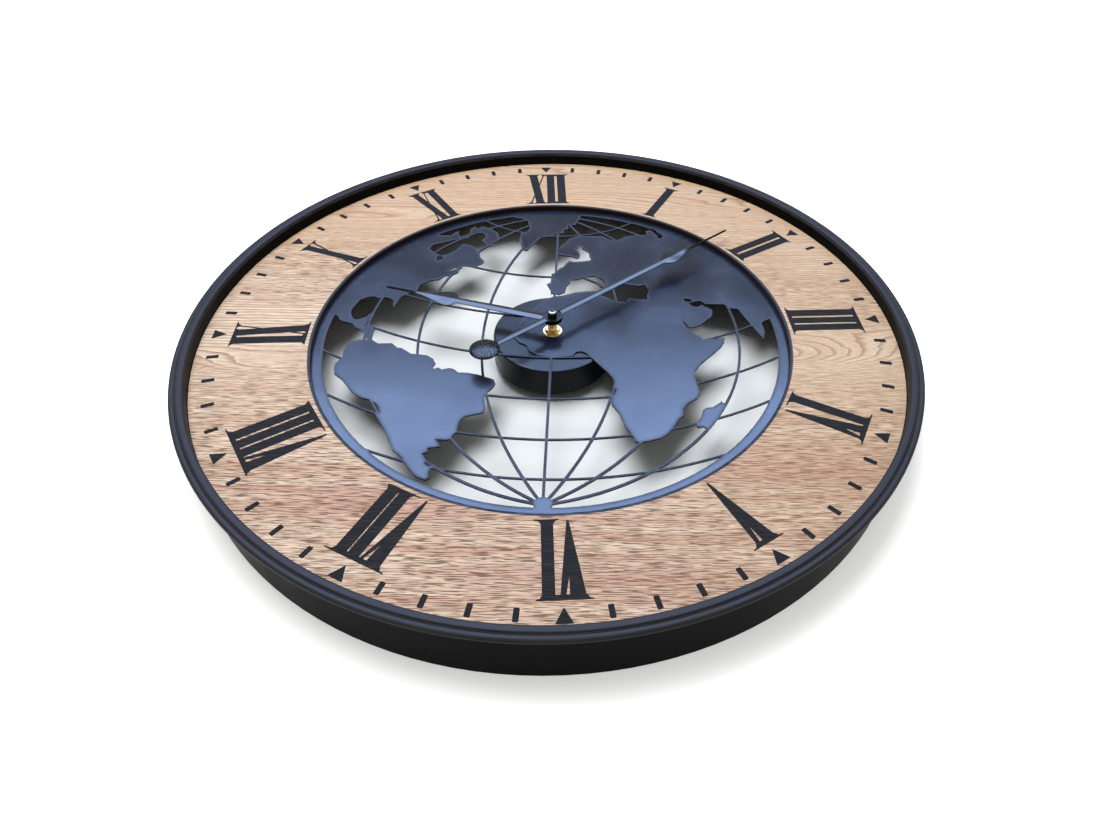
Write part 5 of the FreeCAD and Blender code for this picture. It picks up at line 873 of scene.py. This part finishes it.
def floor():
    """Pale floor, white outside the hoop to the eye and in reflections, that keeps the shadows."""
    mesh = bpy.data.meshes.new("floor")
    corners = ((-1, -1), (1, -1), (1, 1), (-1, 1))
    points = [(FLOOR_REACH * x, FLOOR_REACH * y, FLOOR_LOW) for x, y in corners]
    mesh.from_pydata(points, [], [(0, 1, 2, 3)])
    piece = bpy.data.objects.new("floor", mesh)
    bpy.context.scene.collection.objects.link(piece)
    look = Look("pale_floor")
    tree = look.tree
    tree.nodes.remove(look.shader)
    path = look.node("ShaderNodeLightPath").outputs
    seen = look.greater(path["Is Camera Ray"], path["Is Glossy Ray"])
    away = look.length(look.place)
    outside = look.math("GREATER_THAN", away, GLOW_START)
    strength = look.times(look.spread(away, GLOW_START, GLOW_FULL, WEAK_GLOW, FULL_GLOW), outside)
    glow = look.node("ShaderNodeEmission", {"Strength": look.times(seen, strength)})
    # painted light: a cool tint on the floor under the map
    tint = look.blend(look.spread(away, PAINTED_COOL_REACH, WARM_REACH), PAINTED_COOL_LIGHT_FLOOR, WARM_FLOOR)
    diffuse = look.node("ShaderNodeBsdfDiffuse", {"Color": tint})
    both = look.node("ShaderNodeAddShader", {0: diffuse.outputs[0], 1: glow.outputs[0]})
    tree.links.new(both.outputs[0], tree.nodes["Material Output"].inputs["Surface"])
    mesh.materials.append(look.material)


def world():
    """White to the eye, in reflections and through glass; a plain level of light for all else."""
    scene = bpy.context.scene
    scene.world = bpy.data.worlds.new("studio")
    scene.world.use_nodes = True
    tree = scene.world.node_tree
    tree.nodes.clear()

    def greater(first, second):
        node = tree.nodes.new("ShaderNodeMath")
        node.operation = "MAXIMUM"
        tree.links.new(first, node.inputs[0])
        tree.links.new(second, node.inputs[1])
        return node.outputs[0]

    def background(colour, strength):
        node = tree.nodes.new("ShaderNodeBackground")
        node.inputs["Color"].default_value = colour
        node.inputs["Strength"].default_value = strength
        return node.outputs[0]

    path = tree.nodes.new("ShaderNodeLightPath").outputs
    seen = greater(greater(path["Is Camera Ray"], path["Is Glossy Ray"]), path["Is Transmission Ray"])
    mix = tree.nodes.new("ShaderNodeMixShader")
    out = tree.nodes.new("ShaderNodeOutputWorld")
    tree.links.new(seen, mix.inputs[0])
    tree.links.new(background(PLAIN_COLOUR, PLAIN_LIGHT), mix.inputs[1])
    tree.links.new(background(WHITE, 1.0), mix.inputs[2])
    tree.links.new(mix.outputs[0], out.inputs["Surface"])


def softbox(name, place, target, width, height, power, colour, lights=True):
    """Area lamp that faces a target and shows in glossy surfaces; it lights the others too, or not."""
    lamp = bpy.data.lights.new(name, "AREA")
    lamp.shape = "RECTANGLE"
    lamp.size = width
    lamp.size_y = height
    lamp.energy = power
    lamp.color = colour
    piece = bpy.data.objects.new(name, lamp)
    piece.location = place
    piece.rotation_euler = (Vector(target) - Vector(place)).to_track_quat("-Z", "Y").to_euler()
    piece.visible_diffuse = lights
    bpy.context.scene.collection.objects.link(piece)


def camera():
    """Camera fitted to the photo by the dial's minute marks."""
    data = bpy.data.cameras.new("camera")
    data.sensor_fit = "HORIZONTAL"
    data.sensor_width = 36
    data.lens = 28.31012
    data.shift_x = -0.034787
    data.shift_y = -0.092959
    piece = bpy.data.objects.new("camera", data)
    piece.location = (-0.01089777, -0.57256669, 0.49816744)
    turns = (52.45772959, -0.97664868, -3.34099973)
    piece.rotation_euler = [math.radians(turn) for turn in turns]
    bpy.context.scene.collection.objects.link(piece)
    bpy.context.scene.camera = piece


floor()
world()
# soft key light from above, and a bluish panel that only glossy paint reflects
softbox("key", place=(-0.24, 0.2, 1.75), target=(0, 0, 0.03), width=1.3, height=1.0,
        power=32, colour=(0.97, 0.985, 1.0))
softbox("sky_panel", place=(-0.03, 0.74, 1.35), target=(-0.03, 0.74, 0.0), width=1.9, height=1.35,
        power=285, colour=(0.38, 0.56, 1.0), lights=False)
camera()
bpy.context.scene.view_settings.view_transform = "Standard"
